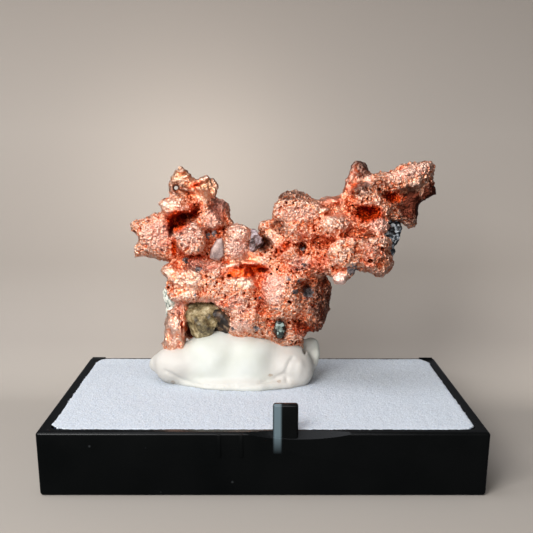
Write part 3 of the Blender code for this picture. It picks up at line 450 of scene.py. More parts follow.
# Painted highlights: the faces that catch the light are made paler and pinker.
PAINTED_HIGHLIGHTS = [
    ("shoulder lump", -5, 44.8, 2.6, 1.7, 0, 0.35),
    ("wing upper face", 30.4, 57.2, 5.2, 1.5, 18, 0.45),
    ("shoulder lower", -5.6, 41.4, 2.6, 2.2, 0, 0.6),
    ("under the disc", -11.6, 37.4, 3.4, 1.2, 0, 0.45),
    ("smooth lump", 16.4, 46.4, 3, 1.8, -6, 0.2), ("bead", 16.2, 34.8, 1.4, 1.4, 0, 0.9),
    ("fin edge", 21.9, 55.6, 0.6, 1.6, -14, 0.6), ("bulge", 2.2, 32.6, 2.4, 3.4, 0, 0.6),
    ("peak root", 2, 43.2, 1.6, 1.2, 0, 0.3), ("left block", -22.2, 44.2, 3.2, 3.6, 0, 0.45),
    ("disc", -15.6, 43.8, 2.8, 2.8, 0, 0.5), ("ridge", -10.6, 47.4, 2, 2.4, 0, 0.45),
    ("foot", -5, 24.6, 3, 1.6, 0, 0.5), ("right block face", 7, 48.4, 4.2, 1.7, 0, 0.4),
    ("arm end", 24.4, 46, 2.2, 1.6, 0, 0.55), ("slope", 7.6, 38, 2.4, 1.6, 0, 0.45),
    ("over the arch", -12.4, 29.4, 3.6, 1.2, 0, 0.6),
    ("window post", -5.4, 29.2, 2.4, 2.4, 0, 0.4), ("leg top", -18.2, 29, 1.8, 2.2, 0, 0.45),
    ("back shoulder", -9.4, 50.2, 2, 1.8, 0, 0.5), ("hinge", -13.6, 37.8, 2.6, 1.4, 0, 0.45),
    ("leg", -18.4, 23, 1.4, 5, 0, 0.3),
]
# Where small nodules crowd the skin.
NODULES = [
    ("nodule cluster", 21.6, 51.6, 4.4, 4, 0, 1), ("arm end", 24.4, 47.4, 2.4, 2.6, 0, 0.8),
    ("near lumps", 21.6, 39.4, 5.4, 3.4, 0, 0.7), ("foot nodules", 10.6, 25.6, 2.4, 2.2, 0, 0.9),
    ("slope nodules", 9.6, 40.6, 4.6, 3.4, 0, 0.5), ("left block", -22.4, 44, 4, 4.2, 0, 0.45),
    ("body", -4, 31.4, 5.6, 5.4, 0, 0.5), ("bulge low", 5.6, 28, 5.4, 4.6, 0, 0.6),
    ("wing top", 31, 56.8, 5, 2.4, 18, 1.3),
]

# ---- Finishes, as sRGB colours ------------------------------------------------------------
COPPER_SHADES = [(0.0, "#F7CFBA"), (0.14, "#F3BC9F"), (0.3, "#EFA078"), (0.48, "#DD7246"),
                 (0.68, "#A03E1D"), (0.95, "#2A0B07")]      # painted shade: from open crests to deep, shut-in folds
# Painted shade: the oxide darkens with the same shade depth as the copper.
OXIDE_BOUNCE_SHADES = [(0.1, "#EE5E26"), (0.36, "#BE380E"), (0.6, "#6E1204")]
MINERAL_SHADES = [(0.35, "#2A2322"), (0.5, "#655A5A"), (0.68, "#A89E9F")]
# Sizes of the copper's patterns.  Its real grit is finer: it is as coarse as it needs to show.
MOTTLE, GRAIN, GRIT, DOTS = 1.1, 0.48, 0.3, 0.9
DOT_SHARE = 0.28            # of the places where a dark dot could be
PATCHES, SPECK_EDGE, STRAY, STRAY_REACH = 0.8, 0.6, 0.8, 0.9
GRAIN_BUMP, GRIT_BUMP, STONE_BUMP, PUTTY_BUMP, FOAM_BUMP = 0.42, 0.2, 0.2, 0.2, 0.3
PUTTY_GLOW, FOAM_GLOW = 1.2, 0.8     # how far light wanders inside them
COPPER_POLISH = (0.34, 0.58)
# The brown of the tarnish and of the painted shade on the copper.
SHADE_BROWN = "#5A2C20"
GOLD_TINT = "#E6AE80"
# The pale pink of the painted highlights.
HIGHLIGHT_PINK = "#F9D0C0"
PUTTY_SHADES = [(0.35, "#BCBDB3"), (0.6, "#C4C5BE")]
PUTTY_GREYED = "#BAB4AD"
PUTTY_STAIN = "#8A6A48"
PUTTY_CLOUDS, PUTTY_SMEARS, STAIN_EDGE = 7.0, 1.2, 0.5
FOAM_CELL = 0.34            # as coarse as it needs to show: real cells are finer
FOAM_SHADES = [(0.0, "#C9D0D8"), (0.5, "#BBC2CA"), (1.0, "#A1A8B2")]
PLASTIC_SHADES = [(0.3, "#050606"), (0.8, "#0A0B0B")]
PLASTIC_DUST = "#242627"
# Painted highlight: the pale strip on the latch post's left edge stands in for a reflection.
PLASTIC_HIGHLIGHT = "#56646A"
PLASTIC_HANDLING, DUST_SPACING, DUST_SHARE = 14.0, 2.6, 0.2
HIGHLIGHT_CENTRE_X, HIGHLIGHT_HALF_WIDTH = 2.55, 0.85       # where the highlight is painted on the post
HIGHLIGHT_FOOT, HIGHLIGHT_FADE = 8.0, 3.4
PAPER_SHADES = [(0.0, "#9A938B"), (0.1, "#908982"), (0.62, "#908982"), (1.0, "#7E7770")]
PAPER_SHADED_AT = 105.0     # painted shade: the paper is graded a little darker this high up
ROOM_COLOUR, ROOM_STRENGTH = "#DCDDE4", 0.12
SWEEP_WIDTH, SWEEP_TOP, SWEEP_FRONT = 1600.0, 700.0, -700.0
SWEEP_BACK, SWEEP_BEND, SWEEP_STEPS = 34.0, 30.0, 16    # where the wall rises, and its bend

# Soft lights: place, aim, width, height, power and colour.
LIGHTS = {
    "key softbox": ((-180, -320, 250), (0, 10, 30), 190, 190, 1.75, "#FFFFFF"),
    "left softbox": ((-300, -60, 190), (0, 10, 30), 240, 240, 0.40, "#FFFFFF"),
    "front softbox": ((-40, -420, 170), (0, 10, 35), 260, 160, 0.95, "#FFFFFF"),
    "top softbox": ((-80, -40, 420), (0, 10, 20), 260, 200, 0.6, "#F4F7FF"),
    "wall light": ((-17, 24, 52), (-19, 64, 52), 24, 24, 0.0165, "#FFF6EC"),
    "wall light right": ((86, 24, 22), (88, 64, 22), 40, 24, 0.0055, "#FFF8F0"),
}

# Stones, by the node that each replaces: lumps, plates, slot, relief (grain, height), name of
# the material, its grain, roughness, how see-through it is, how much its crystals differ, and
# its colours from dark to pale.
STONES = {
    # Weathered feldspar: pale olive, grainy, with dull brown stains.
    "olive_stone": (OLIVE_STONE, [], "olive_stone", (1.2, 0.10), "olive feldspar", 1.3, 0.45, 0.0,
                    0.12, [(0.34, "#2E2415"), (0.44, "#665839"), (0.54, "#948460"),
                           (0.68, "#C6B997")]),
    # Dark brown matrix rock, rough and dull.
    "brown_stone": (BROWN_STONE, [], "brown_stone", (0.7, 0.16), "brown matrix rock", 1.0, 0.55,
                    0.0, 0.35, [(0.3, "#130C07"), (0.5, "#2C1D12"), (0.64, "#4E3824"),
                                (0.78, "#7E6850")]),
    # Grey-green altered basalt with pale grains.
    "green_rock": (GREEN_ROCK, [], "green_rock", (0.6, 0.22), "altered basalt", 0.7, 0.6, 0.0,
                   0.35, [(0.25, "#3A423C"), (0.4, "#8B948A"), (0.52, "#C2C3B6"),
                          (0.66, "#E2E0D4")]),
    # Blue-black rock with small bright facets.
    "dark_rock": (DARK_ROCK, [], "dark_rock", (0.6, 0.25), "blue-black basalt", 0.55, 0.4, 0.0,
                  0.5, [(0.35, "#06080A"), (0.5, "#1A2026"), (0.6, "#4A545C"),
                        (0.72, "#B9BEC2")]),
    # Dark bottle-green mineral with a pale sliver.
    "foot_stone": (FOOT_STONE, [], "foot_stone", (0.7, 0.12), "bottle-green mineral", 0.8, 0.35,
                   0.0, 0.5, [(0.36, "#0E1513"), (0.5, "#2C3833"), (0.6, "#586058"),
                              (0.74, "#9DB0A8")]),
    # Milky quartz: greasy, pale grey, a little see-through.
    "quartz_crystal": ([], QUARTZ, "quartz", (1.6, 0.05), "milky quartz", 1.6, 0.22, 0.1,
                       0.1, [(0.35, "#846F6B"), (0.5, "#B79C94"), (0.7, "#DEC1B6")]),
    # Blue-grey mineral with a dull metallic look.
    "grey_stone": (GREY_STONE, [], "grey_stone", (0.7, 0.32), "blue-grey mineral", 0.7, 0.35, 0.0,
                   0.3, [(0.34, "#2C1E1D"), (0.46, "#664A46"), (0.56, "#8E7C7E"),
                         (0.7, "#B9ABAE")]),
}


def hexa(code):
    """An sRGB colour such as "#C8BEB5" as linear red, green, blue and alpha."""
    parts = [int(code[i:i + 2], 16) / 255.0 for i in (1, 3, 5)]
    return [c / 12.92 if c <= 0.04045 else ((c + 0.055) / 1.055) ** 2.4 for c in parts] + [1.0]


def give(tree, made, inputs):
    """Set a node's inputs, each to a value or to another node's output."""
    for key, value in inputs.items():
        if isinstance(value, bpy.types.NodeSocket):
            tree.links.new(value, made.inputs[key])
        else:
            made.inputs[key].default_value = value


def node(tree, kind, inputs=None, out=0, stops=(), **settings):
    """Add a node and return the output asked for, or all of them where out is None."""
    made = tree.nodes.new(kind if "Node" in kind else "ShaderNode" + kind)
    for name, value in settings.items():
        setattr(made, name, value)
    give(tree, made, inputs or {})
    for i, (place, colour) in enumerate(stops):
        if i >= len(made.color_ramp.elements):
            made.color_ramp.elements.new(place)
        made.color_ramp.elements[i].position = place
        made.color_ramp.elements[i].color = hexa(colour)
    return made.outputs[out] if out is not None else made.outputs


def set_back(at):
    """A point of the measuring plane, moved along the eye's line to its own depth."""
    spread = 1.0 + (at[1] - PLANE_Y) / EYE_REACH
    return Vector((at[0] * spread, at[1], EYE_HEIGHT - (EYE_HEIGHT - at[2]) * spread))


def plane_places(points):
    """Where points show on the measuring plane: their x and z there."""
    spread = 1.0 + (points[:, 1] - PLANE_Y) / EYE_REACH
    return np.stack((points[:, 0] / spread, EYE_HEIGHT - (EYE_HEIGHT - points[:, 2]) / spread), 1)


# ---- Making and combining meshes ----------------------------------------------------------
def link(name, data):
    """A new object of the scene that holds the mesh, light or camera."""
    obj = bpy.data.objects.new(name, data)
    bpy.context.collection.objects.link(obj)
    return obj


def new_object(name, bm, recalculate=True):
    """A mesh object made from the bmesh, with its faces pointing out."""
    if recalculate:
        bmesh.ops.recalc_face_normals(bm, faces=bm.faces)
    mesh = bpy.data.meshes.new(name)
    bm.to_mesh(mesh)
    bm.free()
    return link(name, mesh)


def built(name, *groups):
    """One mesh from groups of rows; each group is what adds a row, its rows and what it needs."""
    bm = bmesh.new()
    for add, rows, *needs in groups:
        for row in rows:
            add(bm, row, *needs)
    return new_object(name, bm)


def remove(obj):
    """Remove a helper object and its mesh."""
    mesh = obj.data
    bpy.data.objects.remove(obj)
    bpy.data.meshes.remove(mesh)


def apply_modifiers(obj):
    """Replace the object's mesh with what its modifiers make of it."""
    graph = bpy.context.evaluated_depsgraph_get()
    mesh = bpy.data.meshes.new_from_object(obj.evaluated_get(graph))
    old = obj.data
    obj.modifiers.clear()
    obj.data = mesh
    bpy.data.meshes.remove(old)


def shape(obj, kind, **settings):
    """Shape the object with one modifier."""
    modifier = obj.modifiers.new("shaping", kind)
    for name, value in settings.items():
        setattr(modifier, name, value)
    apply_modifiers(obj)


def combine(obj, other, operation, solver='EXACT'):
    """Unite another closed body with the object, or cut it out, and use that body up."""
    shape(obj, 'BOOLEAN', operation=operation, solver=solver, object=other)
    remove(other)


def join(obj, *others):
    """Put the other objects' faces into the object's mesh, and use them up."""
    bm = bmesh.new()
    bm.from_mesh(obj.data)
    for other in others:
        bm.from_mesh(other.data)
        remove(other)
    bm.to_mesh(obj.data)
    bm.free()


def fuse(obj, voxel, soften=0):
    """Join the overlapping bodies of a mesh in one skin and soften it that many times."""
    shape(obj, 'REMESH', mode='VOXEL', voxel_size=voxel * MM)
    if soften:
        shape(obj, 'SMOOTH', iterations=soften)


def keep_largest(obj):
    """Drop crumbs that hang apart from the main body."""
    bm = bmesh.new()
    bm.from_mesh(obj.data)
    seen = set()
    islands = []
    for start in bm.verts:
        if start in seen:
            continue
        seen.add(start)
        island = [start]
        for vert in island:
            near = [other for edge in vert.link_edges
                    if (other := edge.other_vert(vert)) not in seen]
            seen.update(near)
            island += near
        islands.append(island)
    for island in sorted(islands, key=len)[:-1]:
        bmesh.ops.delete(bm, geom=island, context='VERTS')
    bm.to_mesh(obj.data)
    bm.free()


def points_of(mesh):
    """The mesh's vertices, in mm, and their normals, as arrays."""
    places = np.empty(len(mesh.vertices) * 3, np.float32)
    normals = np.empty_like(places)
    mesh.vertices.foreach_get("co", places)
    mesh.vertex_normals.foreach_get("vector", normals)
    return places.reshape(-1, 3).astype(float) / MM, normals.reshape(-1, 3).astype(float)


def push_out(mesh, points, normals, height):
    """Move each vertex along its normal by its height in mm."""
    places = points + normals * height[:, None]
    mesh.vertices.foreach_set("co", (places * MM).astype(np.float32).ravel())
    mesh.update()


def store(mesh, name, values):
    """Keep one number for each vertex under a name that a material reads."""
    layer = mesh.attributes.new(name, 'FLOAT', 'POINT')
    layer.data.foreach_set("value", np.asarray(values, np.float32))


def swell(points, size, apart=(0.0, 0.0, 0.0)):
    """Smooth noise from -1 to 1 at each point, with bumps about size mm across."""
    return np.array([noise.noise(Vector(p) / size + Vector(apart)) for p in points])


def zone_share(places, zones):
    """The zones' share at each place of the measuring plane: 1 outside them all."""
    share = np.ones(len(places))
    for name, at, radius, rough in zones:
        away = np.hypot(*(places - at).T) / radius
        inside = np.clip((1.15 - away) / 0.4, 0.0, 1.0)
        share = np.minimum(share, 1.0 - (1.0 - rough) * inside)
    return share


def film_cover(places, films):
    """How thickly the films cover each place of the measuring plane, from 0 to 1."""
    cover = np.zeros(len(places))
    for name, x, z, across, up, tilt, strength in films:
        x, z = (places - (x, z)).T
        lean = radians(tilt)
        along = (x * cos(lean) + z * sin(lean)) / across
        over = (z * cos(lean) - x * sin(lean)) / up
        away = np.hypot(along, over)
        cover = np.maximum(cover, strength * np.clip((1.35 - away) / 0.7, 0.0, 1.0))
    return cover


def roughen(obj, bumps, calm=()):
    """Push the skin in and out by layers of bumps (size, height), less so in calm zones."""
    points, normals = points_of(obj.data)
    height = sum(high * swell(points, size, (layer * 7.3, 0.0, layer * 3.1))
                 for layer, (size, high) in enumerate(bumps))
    push_out(obj.data, points, normals, height * zone_share(plane_places(points), calm))


def dress(obj, name, material, replaced):
    """Finish a piece: its name, its one material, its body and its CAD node."""
    obj.name = name
    obj.data.materials.clear()
    obj.data.materials.append(material)
    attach(obj, "root")
    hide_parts(replaced)


# ---- Lumps, plates and blocks -------------------------------------------------------------
def stretch(at, size, tilt=0.0, turn=0.0):
    """What takes a ball of radius 1 to its place, stretched, tilted and turned."""
    turned = Euler((0.0, radians(-tilt), radians(turn))).to_matrix().to_4x4()
    return Matrix.Translation(Vector(at) * MM) @ turned @ Matrix.Diagonal(
        (*(half * MM for half in size), 1.0))


def add_ball(bm, at, size, tilt=0.0):
    """Add a ball stretched to its half sizes."""
    bmesh.ops.create_icosphere(bm, subdivisions=3, radius=1.0, matrix=stretch(at, size, tilt))


def add_stone(bm, row, grow=0.0):
    """Add one stone: a ball cut by flats, stretched, tilted and set in its place."""
    lump = Lump(*row)
    rng = np.random.default_rng([int(100.0 + abs(part) * 10.0) for part in lump.at])
    ways = [Vector(way).normalized() for way in rng.normal(size=(STONE_FLATS, 3))]
    reach = rng.uniform(*FACET_REACH, STONE_FLATS)
    place = stretch(set_back(lump.at), [half + grow for half in lump.size], lump.tilt, lump.turn)
    for vert in bmesh.ops.create_icosphere(bm, subdivisions=5, radius=1.0)["verts"]:
        spot = vert.co * STONE_OVERSIZE
        for way, out in zip(ways, reach):
            spot -= way * max(0.0, spot.dot(way) - out)
        vert.co = place @ spot


def add_lump(bm, row):
    """Add one lump: a ball made a little knobbly, stretched, tilted and set in its place."""
    lump = Lump(*row)
    place = stretch(set_back(lump.at), lump.size, lump.tilt, lump.turn)
    for vert in bmesh.ops.create_icosphere(bm, subdivisions=3, radius=1.0)["verts"]:
        stray = noise.noise(vert.co * LUMP_KNOBBLE_PITCH + Vector(lump.at))
        vert.co = place @ (vert.co * (1.0 + LUMP_KNOBBLE * stray))


def add_loft(bm, rings):
    """Add a closed body through rings of points, with flat ends."""
    rings = [[bm.verts.new(Vector(point) * MM) for point in ring] for ring in rings]
    for near, far in zip(rings, rings[1:]):
        for i, j in zip(range(len(near)), [*range(1, len(near)), 0]):
            bm.faces.new((near[i], near[j], far[j], far[i]))
    bm.faces.new(rings[0])
    bm.faces.new(rings[-1])


def add_plate(bm, plate, draw_in=PLATE_DRAW_IN):
    """Add one flat-sided mass: its outline swept from front to back, with drawn-in faces."""
    name, depth, thick, outline = plate
    points = [Vector(point) for point in outline]
    middle = sum(points, Vector((0.0, 0.0))) / len(points)
    rings = []
    for part, scale in ((-0.5, draw_in), (-PLATE_SHOULDER, PLATE_SPREAD),
                        (PLATE_SHOULDER, PLATE_SPREAD), (0.5, draw_in)):
        spread = [middle + (point - middle) * scale for point in points]
        rings.append([set_back((x, depth + thick * part, z)) for x, z in spread])
    add_loft(bm, rings)


def add_block(bm, low, high):
    """Add a plain block between two corners, and return its corner vertices."""
    size = Vector(high) - Vector(low)
    place = stretch(Vector(low) + size / 2.0, size)
    return bmesh.ops.create_cube(bm, size=1.0, matrix=place)["verts"]


def add_drafted_block(bm, inset, bottom, top):
    """Add a block of the tray's plan, drawn in by inset, with walls that lean out."""
    half_x = TRAY_WIDTH / 2.0 - inset
    half_y = TRAY_DEPTH / 2.0 - inset
    for vert in add_block(bm, (-half_x, -half_y, bottom), (half_x, half_y, top)):
        draw_in = TRAY_DRAFT * MM * (1.0 - vert.co.z / (TRAY_HEIGHT * MM))
        vert.co.x -= copysign(draw_in, vert.co.x)
        vert.co.y -= copysign(draw_in, vert.co.y)


def face_finder(obj):
    """A search tree of the object's faces."""
    return BVHTree.FromObject(obj, bpy.context.evaluated_depsgraph_get())


def on_face(tree, x, z, push):
    """The place on the face seen through (x, z) of the measuring plane, moved out by push."""
    eye = Vector((0.0, PLANE_Y - EYE_REACH, EYE_HEIGHT)) * MM
    aim = Vector((x, PLANE_Y, z)) * MM
    way = (aim - eye).normalized()
    return ((tree.ray_cast(eye, way)[0] or aim) - way * push * MM) / MM


def add_mark(bm, row, tree):
    """Add one small form on the face: a ball, stretched and tilted."""
    mark = Mark(*row)
    add_ball(bm, on_face(tree, mark.x, mark.z, mark.push), mark.size, mark.tilt)


# ---- Copper -------------------------------------------------------------------------------
def copper_form():
    """The nugget's main form: fused lumps and plates, less their hollows."""
    nugget = built("nugget", (add_lump, COPPER_LUMPS), (add_plate, PLATES))
    fuse(nugget, FORM_VOXEL, 2)
    hollows = built("hollows", (add_lump, HOLLOWS), (add_plate, WINDOW, 1.0))
    fuse(hollows, FORM_VOXEL)
    combine(nugget, hollows, 'DIFFERENCE')
    fuse(nugget, FORM_VOXEL, 1)
    keep_largest(nugget)
    roughen(nugget, COPPER_BUMPS, FLATS)
    fuse(nugget, FORM_VOXEL)
    return nugget


def small_forms(nugget):
    """Add small knobs, curled rims and nodules to the form, and cut its small pits."""
    tree = face_finder(nugget)
    rims = []
    for name, x, z, across, up, bead, count, push in RINGS:
        for i in range(count):
            angle = 2.0 * pi * i / count
            rims.append((name, x + across * cos(angle), z + up * sin(angle), (bead,) * 3, push))
    join(nugget, built("knobs", (add_mark, KNOBS + rims, tree)), nodules(nugget))
    fuse(nugget, SKIN_VOXEL)
    pits = built("pits", (add_mark, PITS, tree))
    fuse(pits, SKIN_VOXEL)
    combine(nugget, pits, 'DIFFERENCE', 'MANIFOLD')


def nodules(nugget):
    """Small round nodules of copper, scattered where they crowd the skin."""
    points = points_of(nugget.data)[0]
    crowding = NODULES_ELSEWHERE + film_cover(plane_places(points), NODULES)
    store(nugget.data, "crowding", crowding)
    tree = bpy.data.node_groups.new("nodules", 'GeometryNodeTree')
    add = partial(node, tree)
    smallest, largest = NODULE_RADII
    sizes = {"Per square metre": NODULES_PER_MM2 / MM ** 2, "Smallest radius": smallest * MM,
             "Largest radius": largest * MM, "Seed": NODULE_SEED}
    for label, kind in zip(("Nugget", *sizes), ("Geometry", "Float", "Float", "Float", "Int")):
        tree.interface.new_socket(label, in_out='INPUT', socket_type="NodeSocket" + kind)
    tree.interface.new_socket("Nodules", in_out='OUTPUT', socket_type="NodeSocketGeometry")
    given = add("NodeGroupInput", out=None)
    crowded = add("GeometryNodeInputNamedAttribute", {"Name": "crowding"}, data_type='FLOAT')
    density = add("Math", {0: crowded, 1: given["Per square metre"]}, operation='MULTIPLY')
    spots = add("GeometryNodeDistributePointsOnFaces", {
        "Mesh": given["Nugget"], "Density": density, "Seed": given["Seed"]}, None)
    ball = add("GeometryNodeMeshIcoSphere", {"Radius": 1.0, "Subdivisions": 2})
    radius = add("FunctionNodeRandomValue", {
        2: given["Smallest radius"], 3: given["Largest radius"], "Seed": given["Seed"]}, 1,
        data_type='FLOAT')
    balls = add("GeometryNodeInstanceOnPoints", {
        "Points": spots["Points"], "Instance": ball, "Rotation": spots["Rotation"],
        "Scale": radius})
    real = add("GeometryNodeRealizeInstances", {"Geometry": balls})
    coated = add("GeometryNodeSetMaterial", {
        "Geometry": real, "Material": bpy.data.materials["native copper"]})
    add("NodeGroupOutput", {"Nodules": coated}, None)
    field = link("nodules", nugget.data.copy())
    scatter = field.modifiers.new("Nodules", 'NODES')
    scatter.node_group = tree
    for label, value in sizes.items():
        scatter[tree.interface.items_tree[label].identifier] = value
    apply_modifiers(field)
    return field


def striation(places):
    """The height of the fine ridges at each place of the measuring plane."""
    height = np.zeros(len(places))
    for name, at, radius, lean, pitch, depth in STRIAE:
        x, z = (places - at).T
        lean = radians(lean)
        over = z * cos(lean) - x * sin(lean)
        along = x * cos(lean) + z * sin(lean)
        bent = over + 0.35 * np.sin(along * 1.1) + 0.15 * np.sin(along * 2.9 + over)
        inside = np.clip((1.2 - np.hypot(x, z) / radius) / 0.5, 0.0, 1.0)
        height += depth * inside * np.cos(2.0 * pi * bent / pitch)
    return height


def copper_skin(nugget):
    """Crumple the copper's skin: folds, close granules, fine ridges and scattered pits."""
    fold_high, crumple_high, ripple_high, granule_high, pit_deep = SKIN_HEIGHTS
    points, normals = points_of(nugget.data)
    places = plane_places(points)
    relief = []
    pitted = []
    for point, rough in zip(points, zone_share(places, ZONES)):
        p = Vector(point)
        q = p + noise.noise_vector(p / SKIN_WANDER_SIZE) * SKIN_WANDER
        fold = 1.0 - abs(noise.noise(q / FOLD_SIZE)) * 2.4
        crumple = 1.0 - abs(noise.noise(q / CRUMPLE_SIZE)) * 2.6
        ripple = noise.noise(q / RIPPLE_SIZE)
        granule = 0.42 - noise.voronoi(q / GRANULE_SIZE)[0][0]
        away, spots = noise.voronoi(q / PIT_SPACING)
        spot = spots[0]
        chance = sin(spot.x * 12.99 + spot.y * 78.23 + spot.z * 37.72) * 437.58 % 1.0
        pit = rough * max(0.0, 1.0 - away[0] / PIT_RADIUS) * (chance > 1.0 - PIT_SHARE)
        relief.append(fold_high * (0.3 + 0.7 * rough) * fold
                      + crumple_high * (0.1 + 0.9 * rough) * crumple
                      + rough * (ripple_high * ripple + granule_high * granule) - pit_deep * pit)
        pitted.append(pit)
    store(nugget.data, "pitted", pitted)
    push_out(nugget.data, points, normals, np.array(relief) + striation(places))


def thin_out(obj, triangles):
    """Bring the mesh down to about this many triangles."""
    shape(obj, 'TRIANGULATE', quad_method='BEAUTY', ngon_method='BEAUTY')
    shape(obj, 'DECIMATE', ratio=triangles / len(obj.data.polygons),
          use_collapse_triangulate=True)


def shut_in(obj):
    """How shut in each vertex is: the share of short rays from it that meet the copper.  The
    copper's material paints shade from it.
    """
    tree = face_finder(obj)
    points, normals = points_of(obj.data)
    reach = SHUT_IN_REACH * MM
    fan = []
    for i in range(SHUT_IN_RAYS):
        height = 1.0 - (i + 0.5) / SHUT_IN_RAYS * 0.9
        wide = sqrt(1.0 - height * height)
        angle = i * pi * (3.0 - sqrt(5.0))
        fan.append(Vector((cos(angle) * wide, sin(angle) * wide, height)))
    shares = []
    for point, normal in zip(points * MM, normals):
        normal = Vector(normal)
        turn = Vector((0.0, 0.0, 1.0)).rotation_difference(normal)
        start = Vector(point) + normal * SHUT_IN_START * MM
        hits = [tree.ray_cast(start, turn @ ray, reach)[3] for ray in fan]
        shares.append(sum(1.0 - hit / reach for hit in hits if hit is not None) / len(fan))
    return shares


def speck_cover(places):
    """How far each place lies inside a mineral speck: 1 at its middle."""
    cover = np.zeros(len(places))
    for name, x, z, radius in SPECKS:
        away = np.hypot(*(places - (x, z)).T) / radius
        cover = np.maximum(cover, np.clip(1.3 - away, 0.0, 1.0))
    return cover


def copper_nugget(copper, pockets):
    """The nugget, with room for the stones and all that its material reads."""
    nugget = copper_form()
    small_forms(nugget)
    combine(nugget, pockets, 'DIFFERENCE', 'MANIFOLD')
    keep_largest(nugget)
    copper_skin(nugget)
    thin_out(nugget, COPPER_TRIANGLES)
    mesh = nugget.data
    points, normals = points_of(mesh)
    places = plane_places(points)
    faces_out = normals[:, 1] < 0.3
    # How shut in each place is: the material darkens the colour by this as painted shade.
    store(mesh, "shut_in", shut_in(nugget))
    store(mesh, "speck", speck_cover(places) * faces_out)
    store(mesh, "rough_skin", zone_share(places, ZONES))
    store(mesh, "oxide_and_bounce", film_cover(places, OXIDE_AND_BOUNCE_FILM))
    store(mesh, "tarnish_and_shade", film_cover(places, TARNISH_AND_SHADE_FILM))
    store(mesh, "golden", film_cover(places, GOLDEN))
    store(mesh, "painted_highlight", film_cover(places, PAINTED_HIGHLIGHTS) * faces_out)
    mesh.shade_smooth()
    dress(nugget, "native_copper", copper, "copper_nugget")


# ---- Stones -------------------------------------------------------------------------------
def stone_form(lumps, plates, shrink=0.0):
    """A stone's closed form, broken to flats and a little uneven."""
    stone = built("stone", (add_stone, lumps, -shrink), (add_plate, plates))
    fuse(stone, STONE_VOXEL, 1)
    roughen(stone, STONE_BUMPS)
    return stone


def stone_pockets():
    """The room that all the stones need, as one cutter."""
    rows = STONES.values()
    return stone_form([lump for row in rows for lump in row[0]],
                      [plate for row in rows for plate in row[1]], STONE_SHRINK)


def stones():
    """The stones of the matrix, each grained in its own way."""
    for replaced, (lumps, plates, slot, (size, height), name, *look) in STONES.items():
        piece = stone_form(lumps, plates)
        points, normals = points_of(piece.data)
        uneven = swell(points, size) + 0.5 * swell(points, size / 2.1)
        push_out(piece.data, points, normals, height * uneven)
        piece.data.shade_smooth()
        dress(piece, name.replace(" ", "_"), stone_material(name, *look), replaced)


# ---- Materials ----------------------------------------------------------------------------
def start_material(name):
    """A new material, with what adds nodes to it and its object coordinates."""
    material = bpy.data.materials.new(name)
    material.use_nodes = True
    add = partial(node, material.node_tree)
    return material, add, add("TexCoord", out="Object")


def coat(material, values):
    """Set the inputs of the material's shader."""
    give(material.node_tree, material.node_tree.nodes["Principled BSDF"], values)
    return material


def per_metre(size):
    """A texture scale whose features are this many mm across."""
    return 1.0 / (size * MM)


